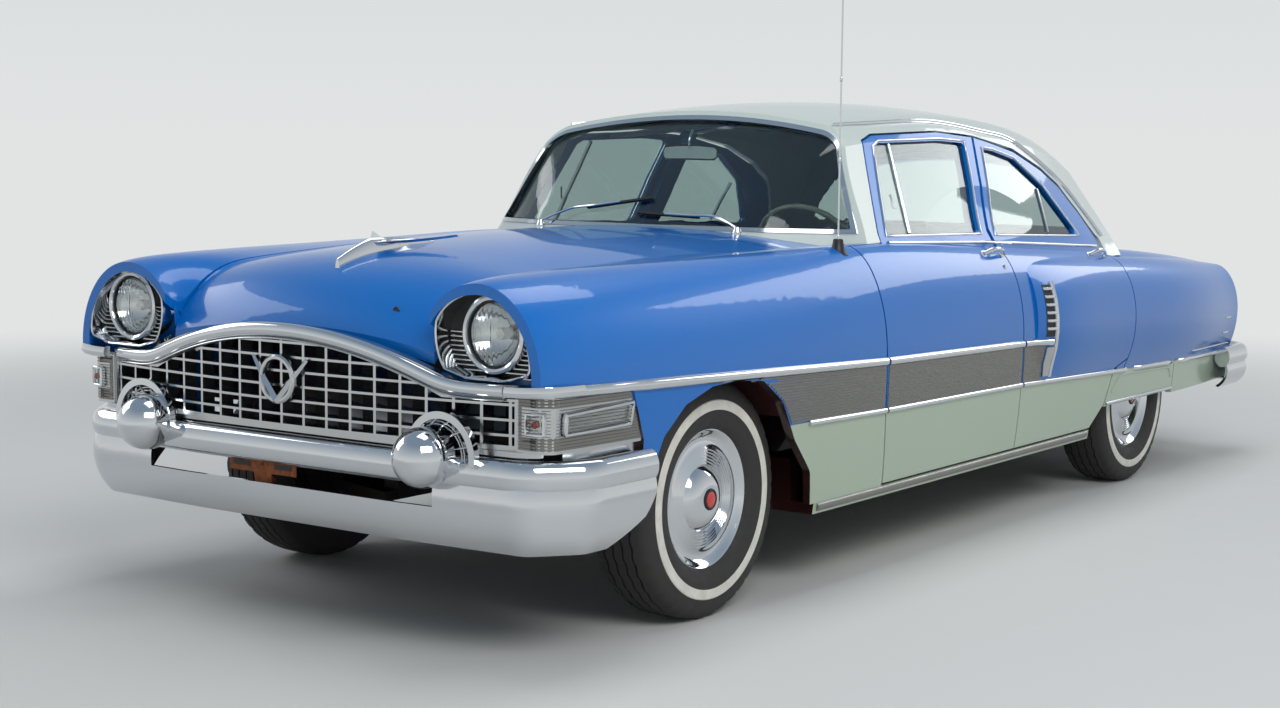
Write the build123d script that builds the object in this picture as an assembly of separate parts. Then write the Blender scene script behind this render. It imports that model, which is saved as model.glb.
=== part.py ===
from build123d import *
import math
import os

# Four-door full-size saloon of the middle 1950s, in millimetres.
# X points forward, Y to the driver's left, Z up. The origin is on the ground, under the
# middle of the car's overall length. Every piece is written where it sits on the car.

# Overall sizes
overall_length = 5550.0
wheelbase = 3226.0
front_overhang = 1030.0
front_axle_x = overall_length / 2 - front_overhang
rear_axle_x = front_axle_x - wheelbase
front_track = 1519.0
rear_track = 1547.0

# Wheels and tyres
tyre_radius = 362.0
tyre_width = 206.0
bead_radius = 196.0
rim_half_width = 78.0
cover_radius = 213.0
hub_radius = 62.0
spindle_radius = 24.0
kingpin_radius = 22.0
kingpin_inboard = 104.5
running_clearance = 0.06
axle_z = tyre_radius
arch_radius = 460.0
wheelhouse_radius = 452.0
wheelhouse_sheet = 10.0

# Body shell
sill_z = 255.0
skin = 30.0
door_thickness = 70.0
seam = 0.3
door_gap = 8.0
lid_gap = 6.0
post_clearance = 8.0
post_depth = 42.0
sill_top_z = 290.0
step_top_z = 425.0
step_outer_y = 835.0
step_inner_y = 720.0
roof_thickness = 34.0
frame_thickness = 35.0
glass_inset = 13.0
glass_thickness = 5.0
floor_z = 400.0
floor_thickness = 24.0
rear_floor_z = 620.0
boot_floor_z = 525.0
floor_sheet = 20.0

# Edges of doors and lids, seen from the side
door_front_foot_x = 822.0
door_front_waist_x = 850.0
door_front_belt_x = 868.0
b_post_x = -185.0
rear_door_x = -1185.0
door_foot_z = 298.0
cowl_side_y = 802.0
hood_rear_x = 1085.0
hood_front_x = 2600.0
hood_front_y = 520.0
hood_rear_y = 660.0
cowl_seam_y = 700.0
lid_front_x = -1640.0
lid_half_width = 560.0
lid_foot_z = 566.0
firewall_x = 1000.0
firewall_thickness = 16.0

# Hinge lines
door_axis_y = 956.0
hinge_leaf_height = 70.0
hinge_leaf_heights = (420.0, 860.0)

# Body sections: x, middle z, valley y, valley z, crown y, crown z, side y, side z, foot y
body_rows = [
    (2630, 810, 500, 782, 690, 1042, 905, 785, 872),
    (2560, 955, 525, 900, 692, 1054, 915, 782, 880),
    (2440, 1045, 530, 995, 697, 1061, 925, 778, 890),
    (2200, 1095, 535, 1042, 707, 1067, 936, 770, 902),
    (1745, 1120, 565, 1066, 733, 1073, 945, 750, 912),
    (1250, 1130, 620, 1074, 762, 1081, 951, 740, 918),
    (850, 1126, 690, 1079, 785, 1087, 953, 730, 920),
    (-190, 1080, 690, 1039, 790, 1055, 953, 715, 920),
    (-1185, 1025, 670, 984, 780, 1007, 950, 700, 918),
    (-1700, 1000, 620, 949, 760, 974, 943, 690, 910),
    (-2150, 955, 570, 907, 735, 937, 928, 680, 896),
    (-2400, 890, 550, 852, 715, 913, 908, 670, 880),
    (-2520, 770, 548, 735, 705, 900, 897, 665, 870),
    (-2620, 560, 545, 535, 700, 888, 885, 660, 860),
]
brow_x = body_rows[0][0]
tail_x = body_rows[-1][0]

# Rear wing swelling: x, top z, crown y, side y, side z, foot z
wing_rows = [
    (-300, 985, 850, 960, 740, 380),
    (-450, 990, 855, 984, 735, 350),
    (-900, 985, 850, 990, 725, 335),
    (-1500, 960, 835, 990, 710, 335),
    (-2100, 925, 800, 970, 690, 340),
    (-2620, 880, 790, 915, 670, 350),
]
wing_root_y = 780.0

# Roof sections: x, middle z, crown y, crown z, shoulder y, shoulder z
roof_rows = [
    (1150, 1440, 540, 1392, 650, 1330),
    (600, 1533, 545, 1485, 655, 1415),
    (200, 1570, 555, 1521, 668, 1448),
    (-200, 1582, 560, 1532, 674, 1458),
    (-600, 1570, 550, 1516, 668, 1440),
    (-1000, 1524, 525, 1468, 650, 1388),
    (-1300, 1446, 495, 1385, 628, 1310),
    (-1700, 1300, 450, 1236, 600, 1165),
]
house_foot_y = 862.0
house_foot_z = 960.0
house_base_z = 860.0

# Windscreen and back light outlines: z, nose x, front corner x, rear corner x, tail x, half width
screen_rows = [
    (850, 1120, 760, -1275, -1680, 905),
    (960, 1085, 745, -1265, -1640, 875),
    (1100, 960, 690, -1240, -1560, 806),
    (1280, 805, 650, -1180, -1440, 742),
    (1440, 665, 600, -1080, -1290, 690),
    (1600, 545, 500, -940, -1120, 640),
]


def mirrored(shape):
    return shape.mirror(Plane.XZ)


def box(x0, x1, y0, y1, z0, z1):
    middle = ((x0 + x1) / 2, (y0 + y1) / 2, (z0 + z1) / 2)
    return Box(x1 - x0, y1 - y0, z1 - z0).moved(Location(middle))


def closed_face(points, radius=0.0):
    if radius:
        return make_face(FilletPolyline(*points, radius=radius, close=True).edges())
    return make_face(Polyline(*points, close=True).edges())


def side_prism(points, y0, y1, radius=0.0, grow=0.0):
    """An outline seen from the side, as (x, z), made solid from y0 to y1."""
    face = closed_face([(x, y0, z) for x, z in points], radius)
    if grow:
        face = offset(face, amount=grow, kind=Kind.INTERSECTION)
    return extrude(face, amount=y1 - y0, dir=(0, 1, 0))


def plan_prism(points, z0, z1, radius=0.0):
    """An outline seen from above, as (x, y), made solid from z0 to z1."""
    face = closed_face([(x, y, z0) for x, y in points], radius)
    return extrude(face, amount=z1 - z0, dir=(0, 0, 1))


def front_prism(points, x0, x1, radius=0.0):
    """An outline seen from the front, as (y, z), made solid from x0 to x1."""
    face = closed_face([(x0, y, z) for y, z in points], radius)
    return extrude(face, amount=x1 - x0, dir=(1, 0, 0))


def rod(start, end, radius):
    """A round bar between two points."""
    path = Vector(*end) - Vector(*start)
    plane = Plane(origin=start, z_dir=tuple(path))
    return extrude(plane * Circle(radius), amount=path.length)


def turned_y(profile, x, y, z):
    """A solid turned about Y from (radius, y) points, moved to x, y, z."""
    face = make_face(Polyline(*profile, close=True).edges())
    return revolve(face, axis=Axis.Y).moved(Location((x, y, z)))


def turned_x(profile, x, y, z):
    """A solid turned about X from (x, radius) points, moved to x, y, z."""
    face = make_face(Polyline(*profile, close=True).edges())
    return revolve(face, axis=Axis.X).moved(Location((x, y, z)))


def tube_path(points, radius, bend):
    """A round pipe along straight runs joined by bends."""
    path = FilletPolyline(*points, radius=bend)
    start = Plane(origin=path @ 0, z_dir=tuple(path % 0))
    return sweep(start * Circle(radius), path=Wire(path.edges()))


def body_section(row, inset, foot_z):
    x, mid_z, valley_y, valley_z, crown_y, crown_z, side_y, side_z, foot_y = row
    mid_z, valley_z, crown_z = mid_z - inset, valley_z - inset, crown_z - inset
    side_y, foot_y = side_y - inset, foot_y - inset
    hood = ThreePointArc((x, -valley_y, valley_z), (x, 0, mid_z), (x, valley_y, valley_z))
    catwalk = TangentArc((x, crown_y, crown_z), (x, valley_y, valley_z), tangent=(0, -1, 0))
    plane = Plane(origin=(x, crown_y, side_z), x_dir=(0, 1, 0), z_dir=(1, 0, 0))
    shoulder = plane * EllipticalCenterArc(
        (0, 0), side_y - crown_y, crown_z - side_z, start_angle=0, arc_size=90)
    flank = TangentArc((x, side_y, side_z), (x, foot_y, foot_z), tangent=(0, 0, -1))
    foot = Line((x, foot_y, foot_z), (x, -foot_y, foot_z))
    edges = [*hood.edges(), *foot.edges()]
    for curve in (catwalk, shoulder, flank):
        edges += [*curve.edges(), *curve.mirror(Plane.XZ).edges()]
    return Face(Wire(edges))


def body_form(inset=0.0):
    """The whole lower body as one block, its skin moved inwards by inset."""
    foot_z = sill_z if inset <= 0 else sill_z - 50
    return loft([body_section(row, inset, foot_z) for row in body_rows])


def wing_form(inset=0.0):
    """The swelling of the left rear wing, as a block that starts inside the body."""
    sections = []
    for x, top_z, crown_y, side_y, side_z, foot_z in wing_rows:
        top_z, side_y = top_z - inset, side_y - inset
        foot_z = foot_z + inset
        plane = Plane(origin=(x, crown_y, side_z), x_dir=(0, 1, 0), z_dir=(1, 0, 0))
        roof = Line((x, wing_root_y, top_z), (x, crown_y, top_z))
        upper = plane * EllipticalCenterArc(
            (0, 0), side_y - crown_y, top_z - side_z, start_angle=0, arc_size=90)
        lower = TangentArc((x, side_y, side_z), (x, wing_root_y, foot_z), tangent=(0, 0, -1))
        back = Line((x, wing_root_y, foot_z), (x, wing_root_y, top_z))
        sections.append(Face(Wire([*roof.edges(), *upper.edges(), *lower.edges(), *back.edges()])))
    return loft(sections)


def roof_section(row, inset):
    x, mid_z, crown_y, crown_z, side_y, side_z = row
    mid_z, crown_z = mid_z - inset, crown_z - inset
    side_y, foot_y = side_y - inset, house_foot_y - inset
    crown = ThreePointArc((x, -crown_y, crown_z), (x, 0, mid_z), (x, crown_y, crown_z))
    way = crown % 1
    shoulder = TangentArc((x, crown_y, crown_z), (x, side_y, side_z), tangent=tuple(way))
    side = Polyline((x, side_y, side_z), (x, foot_y, house_foot_z), (x, foot_y, house_base_z))
    base = Line((x, foot_y, house_base_z), (x, -foot_y, house_base_z))
    edges = [*crown.edges(), *base.edges()]
    for curve in (shoulder, side):
        edges += [*curve.edges(), *curve.mirror(Plane.XZ).edges()]
    return Face(Wire(edges))


def screen_section(row, inset):
    z, nose_x, front_x, rear_x, back_x, half_y = row
    nose_length, back_length = nose_x - front_x, rear_x - back_x
    front_x, rear_x, half_y = front_x - inset, rear_x + inset, half_y - inset
    front = Plane(origin=(front_x, 0, z)) * EllipticalCenterArc(
        (0, 0), nose_length, half_y, start_angle=-90, arc_size=180)
    rear = Plane(origin=(rear_x, 0, z)) * EllipticalCenterArc(
        (0, 0), back_length, half_y, start_angle=90, arc_size=180)
    left = Line((front_x, half_y, z), (rear_x, half_y, z))
    right = Line((front_x, -half_y, z), (rear_x, -half_y, z))
    return Face(Wire([*front.edges(), *rear.edges(), *left.edges(), *right.edges()]))


def roof_block(inset=0.0):
    return loft([roof_section(row, inset) for row in roof_rows])


def house_form(inset=0.0):
    """The cabin's upper half as one block, its skin moved inwards by inset."""
    return roof_block(inset) & loft([screen_section(row, inset) for row in screen_rows])


body = body_form()
body_inside = body_form(skin)
door_inside = body_form(door_thickness)
post_outside = body_form(door_thickness + post_clearance)
post_inside = body_form(door_thickness + post_clearance + post_depth)
wing = wing_form()
house = house_form()
house_inside = house_form(roof_thickness)
door_house_inside = house_form(frame_thickness)
full_side = body + wing
side_inside = body_inside + wing_form(skin)

# Door outlines seen from the side, as x, z: the lower panels and the window frames above
front_panel = [
    (door_front_foot_x, door_foot_z), (door_front_waist_x, 560), (door_front_belt_x, 1200),
    (b_post_x, 1200), (b_post_x, door_foot_z)]
front_frame = [
    (650, 985), (640, 1118), (522, 1428), (440, 1450), (0, 1466), (-270, 1450),
    (-158, 1104), (b_post_x + 13, 1062), (b_post_x + 13, 985)]
rear_front_x = b_post_x - door_gap
rear_panel_points = [
    (rear_front_x, door_foot_z), (rear_front_x, 1200), (rear_door_x, 1200), (rear_door_x, 560),
    (-1069, 520), (-999, 380), (-885, door_foot_z)]
rear_frame = [
    (rear_front_x - 4, 985), (rear_front_x - 4, 1062), (-184, 1112), (-288, 1448), (-400, 1432),
    (-620, 1396), (-850, 1322), (-985, 1255), (-1090, 1150), (-1150, 1050), (-1150, 985)]
roof_opening = [
    (656, 985), (647, 1120), (527, 1434), (442, 1457), (0, 1473), (-280, 1458), (-402, 1441),
    (-627, 1410), (-858, 1337), (-996, 1268), (-1104, 1158), (-1172, 1062), (-1193, 1045), (-1193, 985)]
front_window = [(588, 1112), (468, 1408), (430, 1424), (0, 1436), (-190, 1428), (-96, 1100)]
rear_window_points = [
    (-224, 1092), (-340, 1408), (-420, 1400), (-600, 1368), (-800, 1262), (-900, 1160), (-985, 1066)]


def window_cut(points, y0=500, y1=1000, radius=18):
    return side_prism(points, y0, y1, radius)


def door(panel, frame, window, cut_cowl):
    """A left-hand door: the lower panel with its window frame above."""
    lower = (full_side - door_inside) & side_prism(panel, 600, 1100)
    if cut_cowl:
        lower -= box(front_frame[0][0] - seam, 1000, 0, cowl_side_y + lid_gap, 860, 1300)
    lower -= door_house_inside
    upper = (house - door_house_inside) & side_prism(frame, 400, 1100)
    return (lower + upper) - window_cut(window)


def pane(points, y0=500, y1=1000):
    """Flat glass between the two insets, clear of the opening's edge by the seam."""
    band = house_form(glass_inset) - house_form(glass_inset + glass_thickness)
    return band & side_prism(points, y0, y1, 18, -seam)


door_front_left = door(front_panel, front_frame, front_window, True)
door_rear_left = door(rear_panel_points, rear_frame, rear_window_points, False)

# Fixed body panels

def sill(front_x, rear_x):
    """Left sill: an outer foot under the doors and a step inside them."""
    foot = (body - body_form(150)) & box(rear_x, front_x, 600, 1000, sill_z, sill_top_z)
    step = box(rear_x, front_x, step_inner_y, step_outer_y, sill_z, step_top_z)
    return foot + step


sill_front_x = front_axle_x - arch_radius - 20
sill_rear_x = -885.0
hinge_post_front_x = 935.0
lower_post = post_outside - post_inside
front_post_x = door_front_belt_x + door_gap
hinge_post = (body_form(skin + seam) - body_form(110)) & box(
    front_post_x, hinge_post_front_x, step_inner_y, 1000, sill_top_z - 5, 1000)
b_post = lower_post & box(b_post_x - 60, b_post_x + 55, step_inner_y, 1000, sill_top_z - 5, 1060)
b_post_frame = [(-232, 950), (-120, 950), (-120, 1080), (-236, 1470), (-330, 1470), (-232, 1080)]
upper_post_outside = house_form(frame_thickness + post_clearance)
upper_post_inside = house_form(frame_thickness + post_clearance + 26)
b_post_top = (upper_post_outside - upper_post_inside) & side_prism(b_post_frame, 400, 1000)
b_post_head = (house_form(roof_thickness + seam) - upper_post_inside) & side_prism(
    [(-236, 1466), (-330, 1466), (-352, 1560), (-258, 1560)], 400, 660)
leaf_band = body_form(door_thickness + seam) - post_inside
hinge_leaves = []
for z in hinge_leaf_heights:
    high_z = z + hinge_leaf_height
    for x0, x1 in ((front_post_x - 38, front_post_x + 5), (rear_front_x - 42, b_post_x + 30)):
        hinge_leaves.append(leaf_band & box(x0, x1, step_inner_y, 1000, z, high_z))
body_side_left = sill(sill_front_x, sill_rear_x) + [hinge_post, b_post, b_post_top, b_post_head, *hinge_leaves]

# Roof with its windscreen pillars and rear quarters
windscreen_rim = 28.0
screen_frame_width = 14.0
screen_front_edge = [(708, 1134), (1200, 1134), (1200, 1700), (560, 1700), (588, 1480)]
back_front_edge = [(-1395, 1076), (-1320, 1380), (-1280, 1700), (-1900, 1700), (-1900, 1076)]


def screen_opening(edge, rim, grow):
    """The hole for a curved screen: a side outline under the roof's edge."""
    return side_prism(edge, -900, 900, 30, grow) & roof_block(rim - grow)


front_hole = screen_opening(screen_front_edge, windscreen_rim, screen_frame_width)
back_hole = screen_opening(back_front_edge, 62, screen_frame_width)
front_pane_hole = screen_opening(screen_front_edge, windscreen_rim, 0)
back_pane_hole = screen_opening(back_front_edge, 62, 0)
shell = house - house_inside
roof_opening_block = side_prism(roof_opening, 300, 1100)
roof = shell - body_form(-seam) - front_hole - back_hole
pillar_foot = box(600, 1000, cowl_side_y, 1000, 900, 1118)
quarter_foot = box(-1420, rear_door_x - door_gap, 846, 1000, 900, 973)
for cut in (roof_opening_block, pillar_foot, quarter_foot):
    roof = roof - [cut, mirrored(cut)]
frame_band = house_form(-3) - house_form(24)
windscreen_frame = (frame_band & front_hole) - front_pane_hole - body_form(-seam)
back_frame = (frame_band & back_hole) - back_pane_hole - body_form(-seam)
pane_band = house_form(glass_inset) - house_form(glass_inset + glass_thickness)
windscreen = pane_band & screen_opening(screen_front_edge, windscreen_rim, -seam)
back_light = pane_band & screen_opening(back_front_edge, 62, -seam)

body_shell = full_side + mirrored(wing) - side_inside - mirrored(wing_form(skin))
plan_of_hood = [
    (hood_rear_x, -hood_rear_y), (hood_front_x, -hood_front_y), (hood_front_x + 60, -hood_front_y),
    (hood_front_x + 60, hood_front_y), (hood_front_x, hood_front_y), (hood_rear_x, hood_rear_y)]
hood = (body - body_inside) & plan_prism(plan_of_hood, 500, 1300) & box(
    hood_rear_x, hood_front_x, -900, 900, 500, 1300)

cowl_rear_x = 658.0
cowl_plan = [
    (cowl_rear_x, -cowl_side_y), (880, -cowl_side_y), (880, -cowl_seam_y), (hood_rear_x - lid_gap, -cowl_seam_y),
    (hood_rear_x - lid_gap, cowl_seam_y), (880, cowl_seam_y), (880, cowl_side_y), (cowl_rear_x, cowl_side_y)]
cowl = (body - body_inside) & plan_prism(cowl_plan, 950, 1300)
cowl -= house_inside & box(500, 2000, -900, 900, 800, 1500)
firewall = (body_inside - box(-3000, firewall_x, -1200, 1200, 0, 2000)) & box(
    firewall_x, firewall_x + firewall_thickness, -cowl_seam_y, cowl_seam_y, floor_z, 1200)
cowl += firewall

panel_low_z = 500.0
panel_top_z = 757.0
fender_rear = [
    (door_front_foot_x + door_gap, sill_top_z + seam), (door_front_waist_x + door_gap, 560),
    (door_front_belt_x + door_gap, 1200), (2700, 1200), (2700, panel_top_z), (2262, panel_top_z),
    (2205, 600), (2205, panel_low_z), (1900, panel_low_z), (1900, sill_top_z + seam)]
arch = [
    (1270, 200), (1310, 400), (1417, 510), (1500, 640), (1610, 712), (1745, 726), (1880, 720),
    (2010, 680), (2110, 600), (2172, 480), (2195, 200)]
arch_cut = side_prism(arch, 500, 1100, 40)
plan_of_fender = [
    (880, cowl_seam_y + seam), (hood_rear_x - lid_gap, cowl_seam_y + seam),
    (hood_rear_x - lid_gap, hood_rear_y + lid_gap), (hood_front_x, hood_front_y + lid_gap),
    (2700, hood_front_y + lid_gap), (2700, 1100), (700, 1100), (700, cowl_side_y + seam),
    (880, cowl_side_y + seam)]
front_fender_left = (body - body_inside) & side_prism(fender_rear, 300, 1100) & plan_prism(
    plan_of_fender, 200, 1300)
front_fender_left -= arch_cut
lamp_radius = 100.0
lamp_x = 2570.0
lamp_y = 715.0
lamp_z = 906.0
lamp_plate = (body & box(2548, 2566, hood_front_y + lid_gap, 1000, panel_top_z, 1100)) & body_form(skin - 5)
lamp_plate -= rod((2500, lamp_y, lamp_z), (2600, lamp_y, lamp_z), lamp_radius)
front_fender_left += lamp_plate

quarter_side = [
    (rear_door_x - door_gap, 200), (rear_door_x - door_gap, 1200), (-2700, 1200), (-2700, 200)]
lid_plan = [
    (lid_front_x, -lid_half_width), (tail_x - 50, -lid_half_width), (tail_x - 50, lid_half_width),
    (lid_front_x, lid_half_width)]
lid_side = [(lid_front_x, 1200), (-2700, 1200), (-2700, lid_foot_z), (-2500, lid_foot_z),
            (-2400, 800), (lid_front_x, 850)]
trunk_lid = (body - body_inside) & plan_prism(lid_plan, 300, 1300) & box(
    -2700, lid_front_x, -900, 900, lid_foot_z, 1300)
quarter_inner_y = 566.0
quarter_left = body_shell & box(-2700, rear_door_x - door_gap, quarter_inner_y, 1100, 200, 1200)
quarter_left -= box(-1778, -1000, 700, 1100, 200, 508)
quarter_left -= box(-2700, -1700, 700, 1100, 200, 358)
quarter_left -= house_inside & box(-1500, -1000, 0, 1000, 850, 1600)
skirt_outline = [
    (-1075, 514), (rear_door_x + seam, 552), (rear_door_x + seam, 508 - seam), (-1770, 508 - seam),
    (-1770, 372), (-1012, 372)]
skirt = body_shell & side_prism(skirt_outline, 700, 1100)
deck = body_shell & box(lid_front_x + lid_gap, rear_door_x - door_gap, -quarter_inner_y + seam,
                        quarter_inner_y - seam, 850, 1200)
deck -= house_inside & box(-2000, -1000, -1000, 1000, 850, 1600)
deck += box(lid_front_x + lid_gap, -1200, seam - quarter_inner_y, quarter_inner_y - seam, 940, 955)
tail_thickness = 25.0
tail_panel = box(tail_x, tail_x + tail_thickness, seam - quarter_inner_y, quarter_inner_y - seam, 480,
                 lid_foot_z - lid_gap)
tail_panel += box(tail_x + 4, tail_x + 20, -60, 60, lid_foot_z - 20, lid_foot_z - seam)
splash_low_z = 482.0
splash_high_z = 494.0
tail_lamp_y = 785.0
tail_lamp_half_width = 48.0
tail_lamp_low_z = 600.0
tail_lamp_high_z = 812.0


def tail_lamp_form(x0, x1, grow=0.0):
    """A tall round-ended block along X, moved out by grow."""
    half = tail_lamp_half_width + grow
    low_z, high_z = tail_lamp_low_z - grow, tail_lamp_high_z + grow
    corners = [(tail_lamp_y - half, low_z), (tail_lamp_y + half, low_z),
               (tail_lamp_y + half, high_z), (tail_lamp_y - half, high_z)]
    return front_prism(corners, x0, x1, half - 2)


tail_plate = full_side & box(tail_x, tail_x + 12, quarter_inner_y, 1000, 365, 1000)
tail_plate -= tail_lamp_form(tail_x - 1, tail_x + 30, seam)
quarter_left += tail_plate

# Chassis

rail_top_z = floor_z - seam
rail_rear_z = rear_floor_z - seam
rail_side = [
    (2380, 560), (1500, 560), (1260, rail_top_z), (-985, rail_top_z), (-1110, rail_rear_z),
    (-1810, rail_rear_z), (-1990, boot_floor_z - seam), (-2480, boot_floor_z - seam), (-2480, 425),
    (-2080, 425), (-1830, 500), (-1150, 500), (-930, 275), (1290, 275), (1530, 440), (2380, 440)]
rail_plan = [
    (2380, 410), (1280, 410), (1000, 630), (-800, 630), (-1080, 520), (-2480, 520), (-2480, 450),
    (-1110, 450), (-830, 560), (970, 560), (1250, 340), (2380, 340)]
chassis_left = side_prism(rail_side, 300, 700) & plan_prism(rail_plan, 200, 700)

# Cross-members: rear x, front x, half length, bottom z, top z
cross_rows = [
    (2300, 2360, 380, 460, 540),
    (1685, 1805, 380, 360, 455),
    (880, 940, 600, 276, 306),
    (-120, -60, 600, 276, 306),
    (-800, -750, 600, 276, 306),
    (-2470, -2420, 490, 440, 505),
]
chassis_frame = chassis_left + mirrored(chassis_left)
for rear_x, front_x, half_length, low_z, high_z in cross_rows:
    chassis_frame += box(rear_x, front_x, -half_length, half_length, low_z, high_z)
outrigger_length = 60.0
for x in (700, 100, -600):
    outrigger = box(x, x + outrigger_length, 600, step_inner_y - seam, 300, 380)
    chassis_frame += [outrigger, mirrored(outrigger)]

# Bumper brackets run out from the rails
bumper_x = 2676.0
bumper_depth = 68.0
bumper_bend = 120.0
bracket_y = 375.0
rear_bumper_x = -overall_length / 2


def mirrored_outline(points):
    """A closed outline from its left half, as (x, y) from back to front."""
    return [(x, -y) for x, y in points] + list(reversed(points))


def front_bumper_half(grow):
    """The front bumper's outer face in plan, left half, moved out by grow."""
    return [(1800, 990 + grow), (2490 + grow / 3, 988 + grow), (2652 + grow, 860 + grow / 2), (bumper_x + grow, 400)]


def rear_bumper_half(grow):
    """The rear bumper's outer face in plan, left half, moved out by grow."""
    return [(-1800, 986 + grow), (-2634 - grow / 3, 982 + grow), (-2734 - grow, 860 + grow / 2),
            (rear_bumper_x - grow, 400)]


def bumper_block(half):
    return plan_prism(mirrored_outline(half), 200, 1000, bumper_bend)


for y in (-bracket_y, bracket_y):
    chassis_frame += box(2360, bumper_x, y - 20, y + 20, 510, 550) & bumper_block(front_bumper_half(-bumper_depth - seam))
for y in (-485, 485):
    chassis_frame += box(rear_bumper_x, -2460, y - 20, y + 20, 430, 475) & bumper_block(
        rear_bumper_half(-bumper_depth - seam))

# The rear rails are a section of their own, spliced on behind the kick over the axle
rear_splice_x = -1950.0
chassis_frame -= box(rear_splice_x - seam, rear_splice_x, -700, 700, 300, 700)

# Floor: a folded sheet from the firewall to the boot, with wider flats beside it
floor_front_x = firewall_x - seam
heel_x = -960.0
boot_front_x = -2000.0
boot_rear_x = tail_x + 25.0
floor_profile = [
    (floor_front_x, floor_z), (floor_front_x, floor_z + floor_thickness),
    (heel_x, floor_z + floor_thickness), (heel_x, rear_floor_z + floor_sheet),
    (boot_front_x - floor_sheet, rear_floor_z + floor_sheet),
    (boot_front_x - floor_sheet, boot_floor_z + floor_sheet), (boot_rear_x + seam, boot_floor_z + floor_sheet),
    (boot_rear_x + seam, boot_floor_z), (boot_front_x, boot_floor_z), (boot_front_x, rear_floor_z),
    (heel_x - floor_sheet, rear_floor_z), (heel_x - floor_sheet, floor_z)]
floor_pan = side_prism(floor_profile, -600, 600)
floor_side_y = step_inner_y - seam
floor_pan += box(sill_rear_x, floor_front_x, -floor_side_y, floor_side_y, floor_z, floor_z + floor_thickness)
boot_half_width = 850.0
floor_pan += box(boot_rear_x + seam, boot_front_x - floor_sheet, -boot_half_width, boot_half_width,
                 boot_floor_z, boot_floor_z + floor_sheet)

# Wheelhouses: arched sheets with an inner wall, over each wheel
def wheelhouse(axle_x, inner_y, outer_y, low_z):
    outer = rod((axle_x, inner_y, axle_z), (axle_x, outer_y, axle_z), wheelhouse_radius)
    inside = rod((axle_x, inner_y + wheelhouse_sheet, axle_z), (axle_x, outer_y + 1, axle_z),
                 wheelhouse_radius - wheelhouse_sheet)
    return (outer - inside) - box(axle_x - 600, axle_x + 600, 0, 1200, -200, low_z)


front_house_inner_y = 428.0
rear_house_inner_y = 600.0 + seam
lined_side = body_form(skin + seam)
front_wheelhouse = wheelhouse(front_axle_x, front_house_inner_y, 950, 570) & lined_side
rear_wheelhouse = wheelhouse(rear_axle_x, rear_house_inner_y, 950, boot_floor_z + floor_sheet + seam) & lined_side
rear_wheelhouse -= box(rear_door_x - 15, -900, step_outer_y + 10, 1000, 200, 900)

# Front suspension: arms that carry the kingpins
front_wheel_y = front_track / 2
rear_wheel_y = rear_track / 2
kingpin_y = front_wheel_y - kingpin_inboard
kingpin_low_z = 205.0
kingpin_high_z = 545.0
arm_thickness = 34.0
lower_arm_z = 236.0
upper_arm_z = 492.0
arm_eye_radius = 29.0


def suspension_arm(z, half_root, root_y):
    outline = [
        (front_axle_x - half_root, root_y), (front_axle_x + half_root, root_y),
        (front_axle_x + arm_eye_radius, kingpin_y), (front_axle_x - arm_eye_radius, kingpin_y)]
    arm = plan_prism(outline, z, z + arm_thickness)
    eye = rod((front_axle_x, kingpin_y, z), (front_axle_x, kingpin_y, z + arm_thickness), arm_eye_radius)
    bore = rod((front_axle_x, kingpin_y, z - 1), (front_axle_x, kingpin_y, z + arm_thickness + 1),
               kingpin_radius + running_clearance)
    return (arm + eye) - bore


torsion_y = 470.0
torsion_z = lower_arm_z + arm_thickness / 2
arm_root_y = 410.0 + seam
lower_arm = suspension_arm(lower_arm_z, 120, arm_root_y - 60)
upper_arm = suspension_arm(upper_arm_z, 90, arm_root_y)
arm_pillar = box(front_axle_x - 60, front_axle_x + 60, 345, 405, lower_arm_z + 5, 360 - seam)
torsion_bar = rod((-1080, torsion_y, torsion_z), (front_axle_x - 60, torsion_y, torsion_z), 14)
torsion_anchor = box(-1100, -1060, torsion_y - 22, torsion_y + 22, torsion_z - 20, 408 - seam)
front_suspension_left = lower_arm + arm_pillar + torsion_bar + torsion_anchor + upper_arm

# Steered knuckle: kingpin, spindle and backing plate
spindle_end = 40.0
backing_radius = 158.0


def knuckle():
    pin = rod((front_axle_x, kingpin_y, kingpin_low_z), (front_axle_x, kingpin_y, kingpin_high_z), kingpin_radius)
    block = box(front_axle_x - 34, front_axle_x + 34, kingpin_y - 30, kingpin_y + 31,
                lower_arm_z + arm_thickness + 6, upper_arm_z - 6)
    spindle = rod((front_axle_x, kingpin_y, axle_z), (front_axle_x, front_wheel_y + spindle_end, axle_z), spindle_radius)
    plate = rod((front_axle_x, kingpin_y + 30, axle_z), (front_axle_x, kingpin_y + 36, axle_z), backing_radius)
    return pin + block + spindle + plate


knuckle_left = knuckle()


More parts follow.
